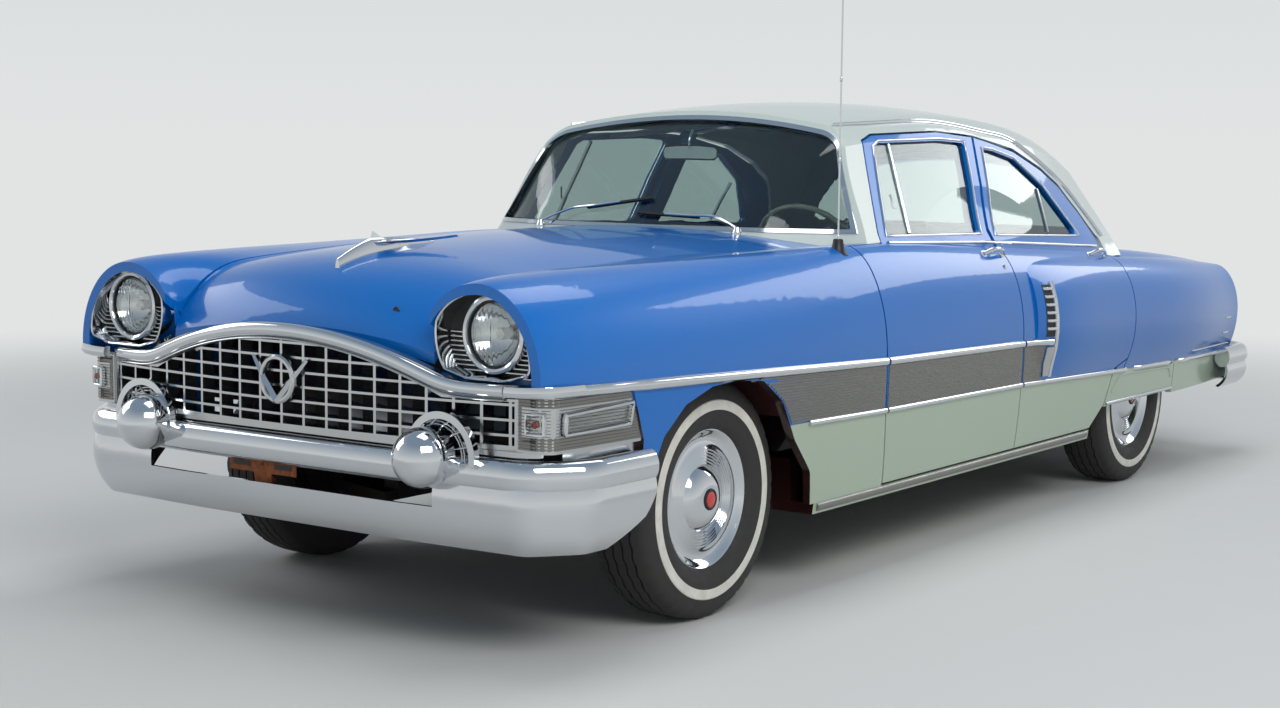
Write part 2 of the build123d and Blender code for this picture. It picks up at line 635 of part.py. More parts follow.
# Wheel: rim, disc, brake drum and cover as one turning piece, from radius, distance outboard
seat_radius = bead_radius - seam
flange_radius = bead_radius + 12
bore_radius = spindle_radius + running_clearance
wheel_profile = [
    (bore_radius, -66), (bore_radius, spindle_end + 4), (0, spindle_end + 4), (0, 100), (20, 99),
    (44, 92), (66, 78), (74, 66), (92, 63), (104, 70), (150, 62), (192, 66), (cover_radius, 76),
    (cover_radius, 60), (seat_radius, 56), (seat_radius, -rim_half_width + 4),
    (flange_radius - seam, -rim_half_width + 4), (flange_radius - seam, -rim_half_width),
    (182, -rim_half_width), (176, -58), (160, -50), (160, 26), (140, 26), (140, -66)]
tyre_half = tyre_width / 2
tyre_profile = [
    (bead_radius, -rim_half_width + 4.3), (bead_radius, 56 - 0.4), (cover_radius + 1.5, 60), (cover_radius + 1.5, 84),
    (242, tyre_half - 5), (285, tyre_half), (326, tyre_half - 4), (350, tyre_half - 18),
    (tyre_radius, tyre_half - 40), (tyre_radius, 40 - tyre_half), (350, 18 - tyre_half),
    (326, 4 - tyre_half), (285, -tyre_half), (242, 5 - tyre_half), (flange_radius + 1, -84),
    (flange_radius + 1, 4.3 - rim_half_width)]
wheel_front_left = turned_y(wheel_profile, front_axle_x, front_wheel_y, axle_z)
wheel_rear_left = turned_y(wheel_profile, rear_axle_x, rear_wheel_y, axle_z)
tyre_front_left = turned_y(tyre_profile, front_axle_x, front_wheel_y, axle_z)
tyre_rear_left = turned_y(tyre_profile, rear_axle_x, rear_wheel_y, axle_z)

# Rear axle with its final drive, spindles, backing plates and spring pads, and the driveshaft
axle_tube_radius = 38.0
diff_radius = 120.0
pad_y = 485.0
shaft_front_x = 980.0
shaft_front_z = 352.0
rear_hub_y = rear_wheel_y - 66 - 12
rear_axle = rod((rear_axle_x, -rear_hub_y, axle_z), (rear_axle_x, rear_hub_y, axle_z), axle_tube_radius)
rear_axle += Sphere(diff_radius).moved(Location((rear_axle_x, 0, axle_z)))
for y in (-1, 1):
    rear_axle += rod((rear_axle_x, y * (rear_hub_y - 10), axle_z), (rear_axle_x, y * (rear_wheel_y + spindle_end), axle_z), spindle_radius)
    rear_axle += rod((rear_axle_x, y * (rear_hub_y - 6), axle_z), (rear_axle_x, y * rear_hub_y, axle_z), backing_radius)
    rear_axle += rod((rear_axle_x, y * pad_y, axle_z), (rear_axle_x, y * pad_y, 500 - seam), 32)
rear_axle += rod((rear_axle_x + 60, 0, axle_z), (shaft_front_x, 0, shaft_front_z), 34)

# Engine with its gearbox, one plain block
engine_rear_x = 1190.0
engine_front_x = 1960.0
engine_low_z = 455.0 + seam
engine_high_z = 960.0
engine = box(engine_rear_x, engine_front_x, -240, 240, engine_low_z, engine_high_z)
engine += box(shaft_front_x + seam, engine_rear_x, -150, 150, 305, floor_z - 4)
engine += box(1150, 1230, -150, 150, 305, 560)

# Exhaust over the rear axle, with its silencer and hangers
exhaust_y = -300.0
exhaust_z = 338.0
exhaust_over_z = 470.0
exhaust_radius = 25.0
exhaust = tube_path([
    (1020, exhaust_y, exhaust_z), (-1150, exhaust_y, exhaust_z), (-1300, exhaust_y, exhaust_over_z),
    (-1660, exhaust_y, exhaust_over_z), (-1800, exhaust_y, 280), (-2620, exhaust_y, 280)], exhaust_radius, 90)
exhaust += rod((-150, exhaust_y, exhaust_z - 8), (-720, exhaust_y, exhaust_z - 8), 68)
exhaust += box(-60, -20, exhaust_y - 12, exhaust_y + 12, exhaust_z, floor_z - seam)
exhaust += box(-2300, -2260, exhaust_y - 12, exhaust_y + 12, 280, 330 - seam)

# Fuel tank under the boot floor
tank_low_z = 330.0
fuel_tank = box(-2410, -2030, -420, 420, tank_low_z, boot_floor_z - seam)

# Seats, as plain closed forms
seat_half_width = 640.0
rear_seat_half_width = 590.0
floor_top_z = floor_z + floor_thickness + seam
front_seat = side_prism([
    (-170, floor_top_z), (320, floor_top_z), (370, 560), (355, 700), (-50, 665), (-110, 700),
    (-235, 1055), (-320, 1065), (-345, 1020), (-225, 560)], -seat_half_width, seat_half_width, 12)
rear_seat = side_prism([
    (-505, floor_top_z), (-470, 600), (-490, 700), (-890, 665), (-1040, 985), (-1130, 1000),
    (-1180, 960), (-1110, rear_floor_z + floor_sheet + seam), (heel_x + seam, rear_floor_z + floor_sheet + seam),
    (heel_x + seam, floor_top_z)], -rear_seat_half_width, rear_seat_half_width, 0)

# Dashboard under the cowl
dash_low_z = 880.0
dashboard = side_prism([
    (700, dash_low_z), (800, dash_low_z), (firewall_x - seam, 930), (firewall_x - seam, 980), (830, 1060), (720, 1060), (680, 1000)],
    -690, 690, 14) - (body - body_form(skin + 5))

# Steering column and wheel
steer_tilt = 30.0
steer_y = 385.0
rim_centre = (400.0, steer_y, 1010.0)
steer_rim_radius = 215.0
steer_grip_radius = 10.0
column_radius = 28.0
column_bore = 10.0
way = (math.cos(math.radians(steer_tilt)), 0.0, -math.sin(math.radians(steer_tilt)))


def along_column(distance):
    return tuple(c + distance * w for c, w in zip(rim_centre, way))


column_start = 70.0
column_length = (firewall_x - rim_centre[0]) / way[0] - 18
steering_column = rod(along_column(column_start), along_column(column_length), column_radius)
steering_column -= rod(along_column(column_start - 1), along_column(column_start + 90), column_bore + running_clearance)
column_bracket = box(730, 780, steer_y - 40, steer_y + 40, 800, dash_low_z - seam) - rod(
    along_column(0), along_column(900), column_radius - 2)
steering_column += column_bracket
wheel_plane = Plane(origin=rim_centre, z_dir=way)
steering_wheel = wheel_plane * Torus(steer_rim_radius, steer_grip_radius)
steering_wheel += rod(along_column(20), along_column(column_start - 3), 42)
steering_wheel += rod(along_column(30), along_column(column_start + 80), column_bore)
steering_wheel += wheel_plane * (Pos(0, 0, 12) * Box(24, 2 * steer_rim_radius - 6, 18))

# Bumpers: a rounded bar and a thin valance, both swept round the car's end

def bumper_path(half, end_x):
    """A smooth line in plan from the bumper's left end to its right end."""
    run = [(end_x, half[0][1])] + half[1:]
    ring = run + [(x, -y) for x, y in reversed(run)]
    return FilletPolyline(*[(x, y, 0) for x, y in ring], radius=bumper_bend)


def swept_round(section, path):
    plane = Plane(origin=path @ 0, x_dir=(0, 0, 1), z_dir=tuple(path % 0))
    return sweep(plane * section, path=Wire(path.edges()))


def valance_section(top_z, low_z, tuck, inward):
    """A thin curled sheet, as (height, depth); inward is 1 or -1, the side that faces the car."""
    middle_z = (top_z + low_z) / 2
    outer = ThreePointArc((top_z, 12 * inward), (middle_z, 9 * inward), (low_z, tuck * inward))
    inner = ThreePointArc((low_z + 8, (tuck + 10) * inward), (middle_z, 21 * inward), (top_z, 24 * inward))
    ends = [Line(outer @ 1, inner @ 0), Line(inner @ 1, outer @ 0)]
    return make_face([*outer.edges(), *inner.edges(), *ends[0].edges(), *ends[1].edges()])


bar_z = 536.0
bar_height = 92.0
bumper_end_x = 2212.0
bar_path = bumper_path(front_bumper_half(-bumper_depth / 2), bumper_end_x)
front_bumper = swept_round(Ellipse(bar_height / 2, bumper_depth / 2), bar_path).moved(Location((0, 0, bar_z)))
valance = swept_round(valance_section(508, 322, 58, 1), bumper_path(front_bumper_half(0), bumper_end_x))
valance -= box(2400, 3000, -560, 560, 436, 600)
valance -= side_prism([(2100, 250), (2380, 250), (2380, 318), (2255, 400), (2205, 480), (2100, 480)], -1100, 1100)
front_bumper += valance
bullet_y = 550.0
bullet_z = 572.0
bullet_radius = 84.0
bullet_tip_x = overall_length / 2
bullet_waist_x = bumper_x + 6
bullet_back_x = 2644.0
hoop_y = 590.0
hoop_outer_radius = 122.0
hoop_inner_radius = 102.0
bullet_nose = EllipticalCenterArc(
    (bullet_waist_x, 0), bullet_tip_x - bullet_waist_x, bullet_radius, start_angle=0, arc_size=90)
bullet_sides = Polyline(
    (bullet_waist_x, bullet_radius), (bullet_back_x, bullet_radius - 6), (bullet_back_x, 0), (bullet_tip_x, 0))
bullet = revolve(make_face([*bullet_nose.edges(), *bullet_sides.edges()]), axis=Axis.X)
hoop = rod((2646, hoop_y, bar_z + 40), (2666, hoop_y, bar_z + 40), hoop_outer_radius)
hoop -= rod((2600, hoop_y, bar_z + 40), (2700, hoop_y, bar_z + 40), hoop_inner_radius)
hoop &= box(2600, 2700, 400, 800, bar_z + 20, 800)
bullet = bullet.moved(Location((0, bullet_y, bullet_z))) + hoop
front_bumper += [bullet, mirrored(bullet)]

# Rear bumper with two upright guards
rear_bar_z = 470.0
rear_end_x = -2330.0
rear_path = bumper_path(rear_bumper_half(-bumper_depth / 2), rear_end_x)
rear_bumper = swept_round(Ellipse(bar_height / 2, bumper_depth / 2), rear_path).moved(Location((0, 0, rear_bar_z)))
rear_bumper += swept_round(valance_section(440, 330, 50, -1), bumper_path(rear_bumper_half(0), rear_end_x))
for y in (-420, 420):
    guard = box(rear_bumper_x, rear_bumper_x + 60, y - 45, y + 45, 410, 600)
    rear_bumper += fillet(guard.edges(), 18)
splash = box(-2760, tail_x - seam, -850, 850, splash_low_z, splash_high_z)
tail_panel += splash & bumper_block(rear_bumper_half(-bumper_depth - 6))
tail_panel += box(tail_x - 6, tail_x + 6, seam - quarter_inner_y, quarter_inner_y - seam, splash_low_z, splash_high_z)

# Front apron: a wrapped panel under the lamps and below the grille, with a ledge to the bumper
apron_front_x = 2596.0
apron_sheet = 30.0
grille_half_width = 578.0
grille_wing_width = 800.0
grille_low_z = 600.0
grille_wing_top_z = 745.0


def corner_block(grow):
    """The front corner under the headlamps: the body's flank with a rounded corner, moved out by grow."""
    front_x = apron_front_x + grow
    half = [(1800, 960 + grow), (2440, 925 + grow), (front_x, 903 + grow), (front_x + 8, 300)]
    return body_form(6 - grow) & plan_prism(mirrored_outline(half), 400, 900, 55 + grow)


apron_skin = corner_block(0)
front_apron = (apron_skin - corner_block(-apron_sheet)) & side_prism([
    (2262 + seam, panel_top_z - seam), (2205 + seam, 600), (2205 + seam, panel_low_z),
    (2700, panel_low_z), (2700, panel_top_z - seam)], -1100, 1100)
front_apron -= [arch_cut, mirrored(arch_cut)]
front_apron -= box(2000, 3000, -1100, 1100, 300, grille_low_z - 1) - bumper_block(front_bumper_half(-bumper_depth - 8))
ledge = box(2560, 2700, -860, 860, grille_low_z - 14, grille_low_z - seam)
front_apron += ledge & bumper_block(front_bumper_half(-46))
front_apron -= box(2500, 2700, -grille_wing_width - seam, grille_wing_width + seam, grille_low_z - seam, 1000)
for y in (-bracket_y, bracket_y):
    front_apron -= box(2500, 2700, y - 30, y + 30, 400, 560)
radiator_x = 2300.0
radiator = box(radiator_x, radiator_x + 45, -335, 335, 540 + seam, 985)
for y in (-300, 300):
    radiator += box(radiator_x, radiator_x + 45, y - 22, y + 22, 980, 1100) & body_form(skin + seam)

# Egg-crate grille under a broad arch
def grille_face(grow):
    """Outline seen from the front: a long flat foot, low wings under the lamps and an arched middle."""
    half, wing = grille_half_width + grow, grille_wing_width + grow
    low_z, wing_z, top_z = grille_low_z - grow, grille_wing_top_z + grow, 868.0 + grow
    foot = Polyline((0, -half, wing_z), (0, -wing, wing_z), (0, -wing, low_z), (0, wing, low_z),
                    (0, wing, wing_z), (0, half, wing_z))
    arch_top = ThreePointArc((0, half, wing_z), (0, 0, top_z), (0, -half, wing_z))
    face = make_face([*foot.edges(), *arch_top.edges()])
    return extrude(face.moved(Location((2400, 0, 0))), amount=400, dir=(1, 0, 0))


def grille_depth(rear, front):
    """Space between two bowed sheets, nose forward."""
    bow = 94.0
    half = grille_wing_width + 60
    front_arc = ThreePointArc((front - bow, -half, 500), (front, 0, 500), (front - bow, half, 500))
    rear_arc = ThreePointArc((rear - bow, -half, 500), (rear, 0, 500), (rear - bow, half, 500))
    side_a = Line((front - bow, -half, 500), (rear - bow, -half, 500))
    side_b = Line((front - bow, half, 500), (rear - bow, half, 500))
    face = make_face([*front_arc.edges(), *rear_arc.edges(), *side_a.edges(), *side_b.edges()])
    return extrude(face, amount=600, dir=(0, 0, 1))


grille_front_x = 2668.0
bar_depth = 46.0
upright_pitch = 86.0
upright_thickness = 9.0
level_pitch = 41.0
level_thickness = 7.0
arch_width = 30.0
count = int(grille_wing_width // upright_pitch)
grille = grille_face(0) - grille_face(-14)
for i in range(-count, count + 1):
    y = i * upright_pitch
    grille += box(2500, 2700, y - upright_thickness / 2, y + upright_thickness / 2, grille_low_z, 900) & grille_face(-5)
for k in range(1, 7):
    z = grille_low_z + k * level_pitch
    level = box(2500, 2700, -grille_wing_width, grille_wing_width, z - level_thickness / 2, z + level_thickness / 2)
    grille += level & grille_face(-5)
grille &= grille_depth(grille_front_x - bar_depth, grille_front_x)
strip = (grille_face(arch_width) - grille_face(0)) & box(2300, 2800, -grille_wing_width, grille_wing_width, 740, 1000)
grille += strip & grille_depth(grille_front_x - 20, grille_front_x + 6)

# Lamps
headlamp = turned_x([
    (2500, 0), (2500, 86), (2540, lamp_radius - seam), (2566 + seam, lamp_radius - seam),
    (2566 + seam, 103), (2590, 103), (2590, 92), (2600, 70), (2606, 36), (2608, 0)], 0, lamp_y, lamp_z)
parking_lamp = (corner_block(14) - corner_block(seam)) & box(2256, 2700, 812, 1100, 640, 727)
tail_lamp = tail_lamp_form(tail_x - 62, tail_x + 20)
tail_lamp = fillet(tail_lamp.faces().sort_by(Axis.X)[0].edges(), 26)

# Aerial on the left wing
aerial_x = 957.0
aerial_y = 815.0
aerial = rod((aerial_x, aerial_y, 1060), (aerial_x, aerial_y, 1106), 14) - body_form(-seam)
aerial += rod((aerial_x, aerial_y, 1100), (aerial_x, aerial_y, 1985), 3)


def pair(shape):
    """A piece and its mirror image, for one node."""
    return Compound([*shape.solids(), *mirrored(shape).solids()])


nodes = {
    "chassis_frame": chassis_frame,
    "floor_pan": floor_pan,
    "body_sides": pair(body_side_left),
    "cowl": cowl,
    "roof": roof,
    "rear_deck": deck,
    "tail_panel": tail_panel,
    "front_fenders": pair(front_fender_left),
    "quarter_panels": pair(quarter_left),
    "fender_skirts": pair(skirt),
    "front_wheelhouses": pair(front_wheelhouse),
    "rear_wheelhouses": pair(rear_wheelhouse),
    "front_apron": front_apron,
    "radiator": radiator,
    "grille": grille,
    "front_bumper": front_bumper,
    "rear_bumper": rear_bumper,
    "headlamps": pair(headlamp),
    "parking_lamps": pair(parking_lamp),
    "tail_lamps": pair(tail_lamp),
    "windscreen": windscreen,
    "back_light": back_light,
    "screen_frames": Compound([*windscreen_frame.solids(), *back_frame.solids()]),
    "engine_block": engine,
    "front_seat": front_seat,
    "rear_seat": rear_seat,
    "dashboard": dashboard,
    "steering_column": steering_column,
    "front_suspension": pair(front_suspension_left),
    "rear_axle": rear_axle,
    "exhaust": exhaust,
    "fuel_tank": fuel_tank,
    "aerial": aerial,
    "steering_wheel": steering_wheel,
    "hood": hood,
    "trunk_lid": trunk_lid,
}

# Moving pieces that come in left and right copies
door_glass_front = pane(front_window)
door_glass_rear = pane(rear_window_points)
sided = {
    "knuckle": knuckle_left,
    "wheel_front": wheel_front_left,
    "wheel_rear": wheel_rear_left,
    "tyre_front": tyre_front_left,
    "tyre_rear": tyre_rear_left,
    "door_front": door_front_left,
    "door_rear": door_rear_left,
    "glass_front": door_glass_front,
    "glass_rear": door_glass_rear,
}
for name, shape in sided.items():
    nodes[name + "_left"] = shape
    nodes[name + "_right"] = mirrored(shape)

os.makedirs("parts", exist_ok=True)
for name, shape in nodes.items():
    export_step(shape, f"parts/{name}.step")
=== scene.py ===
import math

import bmesh
import bpy
from mathutils import Matrix, Vector
from mathutils.bvhtree import BVHTree


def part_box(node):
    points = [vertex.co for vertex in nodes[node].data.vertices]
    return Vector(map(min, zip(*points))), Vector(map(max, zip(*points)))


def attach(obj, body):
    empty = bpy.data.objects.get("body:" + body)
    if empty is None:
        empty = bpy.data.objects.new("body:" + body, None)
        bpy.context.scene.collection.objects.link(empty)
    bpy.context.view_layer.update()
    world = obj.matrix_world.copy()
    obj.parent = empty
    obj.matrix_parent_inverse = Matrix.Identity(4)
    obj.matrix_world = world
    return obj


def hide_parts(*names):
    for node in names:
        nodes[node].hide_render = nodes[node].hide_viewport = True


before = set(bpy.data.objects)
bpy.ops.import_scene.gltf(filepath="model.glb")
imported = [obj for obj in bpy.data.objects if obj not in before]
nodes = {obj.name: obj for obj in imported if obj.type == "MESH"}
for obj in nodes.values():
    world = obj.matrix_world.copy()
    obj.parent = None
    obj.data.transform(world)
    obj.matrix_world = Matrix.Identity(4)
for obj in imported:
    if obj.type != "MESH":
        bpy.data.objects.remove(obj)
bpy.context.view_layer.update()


def linear(code):  # "#RRGGBB" as written in a paint shop, turned to linear light
    parts = [int(code[i:i + 2], 16) / 255 for i in (1, 3, 5)]
    return [p / 12.92 if p <= 0.04045 else ((p + 0.055) / 1.055) ** 2.4 for p in parts] + [1.0]


def addNode(tree, kind, inputs=None, to=None, **settings):
    # inputs holds socket: a value, or (node, output) to link from; to is (node, socket) that it feeds
    node = tree.nodes.new(kind)
    for name, value in settings.items():
        setattr(node, name, value)
    for name, value in (inputs or {}).items():
        if isinstance(value, tuple) and hasattr(value[0], "outputs"):
            tree.links.new(value[0].outputs[value[1]], node.inputs[name])
        else:
            node.inputs[name].default_value = value
    if to:
        shown = [output for output in node.outputs if output.enabled]
        tree.links.new(shown[0], to[0].inputs[to[1]])
    return node


def newMaterial(name, slot, **sockets):
    # a Principled surface; spaces in socket names are written as underscores
    material = bpy.data.materials.new(name)
    material.use_nodes = True
    tree = material.node_tree
    shader = tree.nodes["Principled BSDF"]
    for socket, value in sockets.items():
        if isinstance(value, str):
            value = linear(value)
        shader.inputs[socket.replace("_", " ")].default_value = value
    return material, tree, shader, addNode(tree, "ShaderNodeTexCoord")


# Coach enamel: sprayed and baked, clear and deep, with a faint orange peel
enamel = dict(
    blue="#0067BA", pale="#A9B8A4", roof="#BAC4BF", under="#2A1413",
    peel=9.0, fade=900.0,  # mm across a dimple of the peel, and a patch faded by the sun
    # border under the side moulding, height in metres at each X
    border=[(-2.70, 0.480), (-1.15, 0.512), (-0.20, 0.539), (0.835, 0.549), (1.34, 0.559), (1.75, 0.559)],
    # the front wheel's arch in metres: its span in X, its top, and how far out the outer skin begins
    archFrom=0.87, archTo=2.24, archTop=0.78, skin=0.86,
    edge=0.5,  # a face whose normal leans less than this to the side is a cut edge
)

def enamelPaint(name, slot, colour, belowColour=None):
    material, tree, shader, place = newMaterial(
        name, slot, Base_Color=colour, Roughness=0.3, Specular_IOR_Level=0.2, Coat_Weight=0.6,
        Coat_Roughness=0.03)
    peel = addNode(tree, "ShaderNodeTexNoise", {
        "Vector": (place, "Object"), "Scale": 1000 / enamel["peel"], "Detail": 1.0})
    fade = addNode(tree, "ShaderNodeTexNoise", {
        "Vector": (place, "Object"), "Scale": 1000 / enamel["fade"], "Detail": 4.0})
    addNode(tree, "ShaderNodeBump", {"Height": (peel, 0), "Strength": 0.03, "Distance": 0.0004},
            (shader, "Normal"))
    addNode(tree, "ShaderNodeMapRange", {0: (fade, 0), 1: 0.3, 2: 0.7, 3: 0.28, 4: 0.32},
            (shader, "Roughness"))
    shade = addNode(tree, "ShaderNodeMapRange", {0: (fade, 0), 1: 0.3, 2: 0.7, 3: 0.975, 4: 1.025})
    result = addNode(tree, "ShaderNodeMix", {"Factor": 1.0, "A": linear(colour), "B": (shade, 0)},
                     data_type="RGBA", blend_type="MULTIPLY")
    if belowColour:
        rows = enamel["border"]
        split = addNode(tree, "ShaderNodeSeparateXYZ", {0: (place, "Object")})
        span = addNode(tree, "ShaderNodeMapRange", {0: (split, 0), 1: rows[0][0], 2: rows[-1][0]})
        line = addNode(tree, "ShaderNodeFloatCurve", {"Value": (span, 0)})
        points = line.mapping.curves[0].points
        for index, (x, z) in enumerate(rows):
            along = (x - rows[0][0]) / (rows[-1][0] - rows[0][0])
            if index < 2:
                points[index].location = (along, z)
            else:
                points.new(along, z)
        line.mapping.update()
        under = addNode(tree, "ShaderNodeMath", {0: (split, 2), 1: (line, 0)}, operation="LESS_THAN")
        behind = addNode(tree, "ShaderNodeMath", {0: (split, 0), 1: rows[-1][0]}, operation="LESS_THAN")
        both = addNode(tree, "ShaderNodeMath", {0: (under, 0), 1: (behind, 0)}, operation="MULTIPLY")
        below = addNode(tree, "ShaderNodeMix", {"Factor": 1.0, "A": linear(belowColour), "B": (shade, 0)},
                        data_type="RGBA", blend_type="MULTIPLY")
        result = addNode(tree, "ShaderNodeMix", {
            "Factor": (both, 0), "A": (result, "Result"), "B": (below, "Result")}, data_type="RGBA")
        # round the front wheel the cut edges and the faces well inside only have undercoat
        lie = addNode(tree, "ShaderNodeNewGeometry")
        facing = addNode(tree, "ShaderNodeSeparateXYZ", {0: (lie, "Normal")})
        sideways = addNode(tree, "ShaderNodeMath", {0: (facing, 1)}, operation="ABSOLUTE")
        edge = addNode(tree, "ShaderNodeMath", {0: (sideways, 0), 1: enamel["edge"]}, operation="LESS_THAN")
        across = addNode(tree, "ShaderNodeMath", {0: (split, 1)}, operation="ABSOLUTE")
        inside = addNode(tree, "ShaderNodeMath", {0: (across, 0), 1: enamel["skin"]}, operation="LESS_THAN")
        hidden = addNode(tree, "ShaderNodeMath", {0: (edge, 0), 1: (inside, 0)}, operation="MAXIMUM")
        ahead = addNode(tree, "ShaderNodeMath", {0: (split, 0), 1: enamel["archFrom"]},
                        operation="GREATER_THAN")
        before = addNode(tree, "ShaderNodeMath", {0: (split, 0), 1: enamel["archTo"]}, operation="LESS_THAN")
        low = addNode(tree, "ShaderNodeMath", {0: (split, 2), 1: enamel["archTop"]}, operation="LESS_THAN")
        length = addNode(tree, "ShaderNodeMath", {0: (ahead, 0), 1: (before, 0)}, operation="MULTIPLY")
        region = addNode(tree, "ShaderNodeMath", {0: (length, 0), 1: (low, 0)}, operation="MULTIPLY")
        coated = addNode(tree, "ShaderNodeMath", {0: (region, 0), 1: (hidden, 0)}, operation="MULTIPLY")
        result = addNode(tree, "ShaderNodeMix", {
            "Factor": (coated, 0), "A": (result, "Result"), "B": linear(enamel["under"])}, data_type="RGBA")
    tree.links.new(result.outputs["Result"], shader.inputs["Base Color"])
    return material


blueEnamel = enamelPaint("enamelBlue", "body_paint", enamel["blue"])
twoToneEnamel = enamelPaint("enamelTwoTone", "body_paint", enamel["blue"], enamel["pale"])
paleEnamel = enamelPaint("enamelPale", "roof_paint", enamel["roof"])

# Plated steel: bumpers and mouldings, mirror bright with a faint haze
chrome, tree, shader, place = newMaterial(
    "chromePlatedSteel", "bright_trim", Base_Color="#D4D7DA", Metallic=1.0, Roughness=0.08)
haze = addNode(tree, "ShaderNodeTexNoise", {"Vector": (place, "Object"), "Scale": 1000 / 60, "Detail": 5.0})
addNode(tree, "ShaderNodeMapRange", {0: (haze, 0), 1: 0.3, 2: 0.7, 3: 0.04, 4: 0.13}, (shader, "Roughness"))

# Die cast zinc, thinly plated: the grille bars, a softer shine
dieCast, tree, shader, place = newMaterial(
    "platedZincDieCast", "bright_trim", Base_Color="#C2C4C5", Metallic=1.0, Roughness=0.2)
haze = addNode(tree, "ShaderNodeTexNoise", {"Vector": (place, "Object"), "Scale": 1000 / 120, "Detail": 2.0})
addNode(tree, "ShaderNodeMapRange", {0: (haze, 0), 1: 0.3, 2: 0.7, 3: 0.16, 4: 0.24}, (shader, "Roughness"))

# Rolled stainless: the ribbed panel between the side mouldings, dulled by road film
stainless, tree, shader, place = newMaterial(
    "rolledStainlessSteel", "bright_trim", Base_Color="#8B8A86", Metallic=0.9, Roughness=0.36)
haze = addNode(tree, "ShaderNodeTexNoise", {"Vector": (place, "Object"), "Scale": 1000 / 14, "Detail": 4.0})
addNode(tree, "ShaderNodeMapRange", {0: (haze, 0), 1: 0.3, 2: 0.7, 3: 0.28, 4: 0.46}, (shader, "Roughness"))

# Rust: bare bracket steel gone brown, flaking
rust, tree, shader, place = newMaterial(
    "rustedMildSteel", "steel", Base_Color="#7A3E22", Metallic=0.1, Roughness=0.85)
flake = addNode(tree, "ShaderNodeTexNoise", {"Vector": (place, "Object"), "Scale": 1000 / 12, "Detail": 8.0})
addNode(tree, "ShaderNodeMix", {"Factor": (flake, 0), "A": linear("#4A2414"), "B": linear("#A8623A")},
        (shader, "Base Color"), data_type="RGBA")
addNode(tree, "ShaderNodeBump", {"Height": (flake, 0), "Strength": 0.5, "Distance": 0.0008},
        (shader, "Normal"))

# Tyre rubber: moulded black rubber, dull, with pale road dust
rubber, tree, shader, place = newMaterial(
    "tyreRubber", "tyre_rubber", Base_Color="#1B1B1C", Roughness=0.75, IOR=1.52)
dust = addNode(tree, "ShaderNodeTexNoise", {"Vector": (place, "Object"), "Scale": 1000 / 30, "Detail": 6.0})
addNode(tree, "ShaderNodeMapRange", {0: (dust, 0), 1: 0.3, 2: 0.7, 3: 0.6, 4: 0.9}, (shader, "Roughness"))
addNode(tree, "ShaderNodeMix", {"Factor": (dust, 0), "A": linear("#151516"), "B": linear("#3B3836")},
        (shader, "Base Color"), data_type="RGBA")
addNode(tree, "ShaderNodeBump", {"Height": (dust, 0), "Strength": 0.2, "Distance": 0.0004},
        (shader, "Normal"))

# White sidewall rubber: slightly yellowed and marked
whitewall, tree, shader, place = newMaterial(
    "whiteSidewallRubber", "tyre_rubber", Base_Color="#DAD8CE", Roughness=0.55, IOR=1.52)
dust = addNode(tree, "ShaderNodeTexNoise", {"Vector": (place, "Object"), "Scale": 1000 / 40, "Detail": 6.0})
addNode(tree, "ShaderNodeMix", {"Factor": (dust, 0), "A": linear("#BEBAAC"), "B": linear("#EEEDE6")},
        (shader, "Base Color"), data_type="RGBA")

# Laminated and toughened glass, float smooth, with a pale green cast
glass, tree, shader, place = newMaterial(
    "tintedSafetyGlass", "safety_glass", Base_Color="#C3D2CF", Roughness=0.0, IOR=1.5,
    Transmission_Weight=1.0)
smear = addNode(tree, "ShaderNodeTexNoise", {"Vector": (place, "Object"), "Scale": 1000 / 90, "Detail": 4.0})
addNode(tree, "ShaderNodeMapRange", {0: (smear, 0), 1: 0.4, 2: 0.8, 3: 0.0, 4: 0.03}, (shader, "Roughness"))

# Chassis black: brushed on thick, satin, greyed with road film
chassisBlack, tree, shader, place = newMaterial(
    "chassisBlackPaint", "frame_paint", Base_Color="#141414", Roughness=0.55)
film = addNode(tree, "ShaderNodeTexNoise", {"Vector": (place, "Object"), "Scale": 1000 / 70, "Detail": 6.0})
addNode(tree, "ShaderNodeMapRange", {0: (film, 0), 1: 0.3, 2: 0.7, 3: 0.45, 4: 0.8}, (shader, "Roughness"))
addNode(tree, "ShaderNodeMix", {"Factor": (film, 0), "A": linear("#0C0C0C"), "B": linear("#2A2826")},
        (shader, "Base Color"), data_type="RGBA")

# Red oxide undercoat: sprayed in the wheel arches, chalky and stained
redOxide, tree, shader, place = newMaterial(
    "redOxideUndercoat", "frame_paint", Base_Color="#3E1618", Roughness=0.75)
film = addNode(tree, "ShaderNodeTexNoise", {"Vector": (place, "Object"), "Scale": 1000 / 55, "Detail": 7.0})
addNode(tree, "ShaderNodeMix", {"Factor": (film, 0), "A": linear("#1B0C0D"), "B": linear("#5A2322")},
        (shader, "Base Color"), data_type="RGBA")
addNode(tree, "ShaderNodeBump", {"Height": (film, 0), "Strength": 0.4, "Distance": 0.001},
        (shader, "Normal"))

# Cast iron and forged steel below: sand cast grain, rust and oil
castIron, tree, shader, place = newMaterial(
    "castIron", "iron", Base_Color="#2B2725", Metallic=0.6, Roughness=0.6)
grain = addNode(tree, "ShaderNodeTexNoise", {"Vector": (place, "Object"), "Scale": 1000 / 6, "Detail": 6.0})
addNode(tree, "ShaderNodeMapRange", {0: (grain, 0), 1: 0.3, 2: 0.7, 3: 0.5, 4: 0.8}, (shader, "Roughness"))
addNode(tree, "ShaderNodeBump", {"Height": (grain, 0), "Strength": 0.5, "Distance": 0.0008},
        (shader, "Normal"))

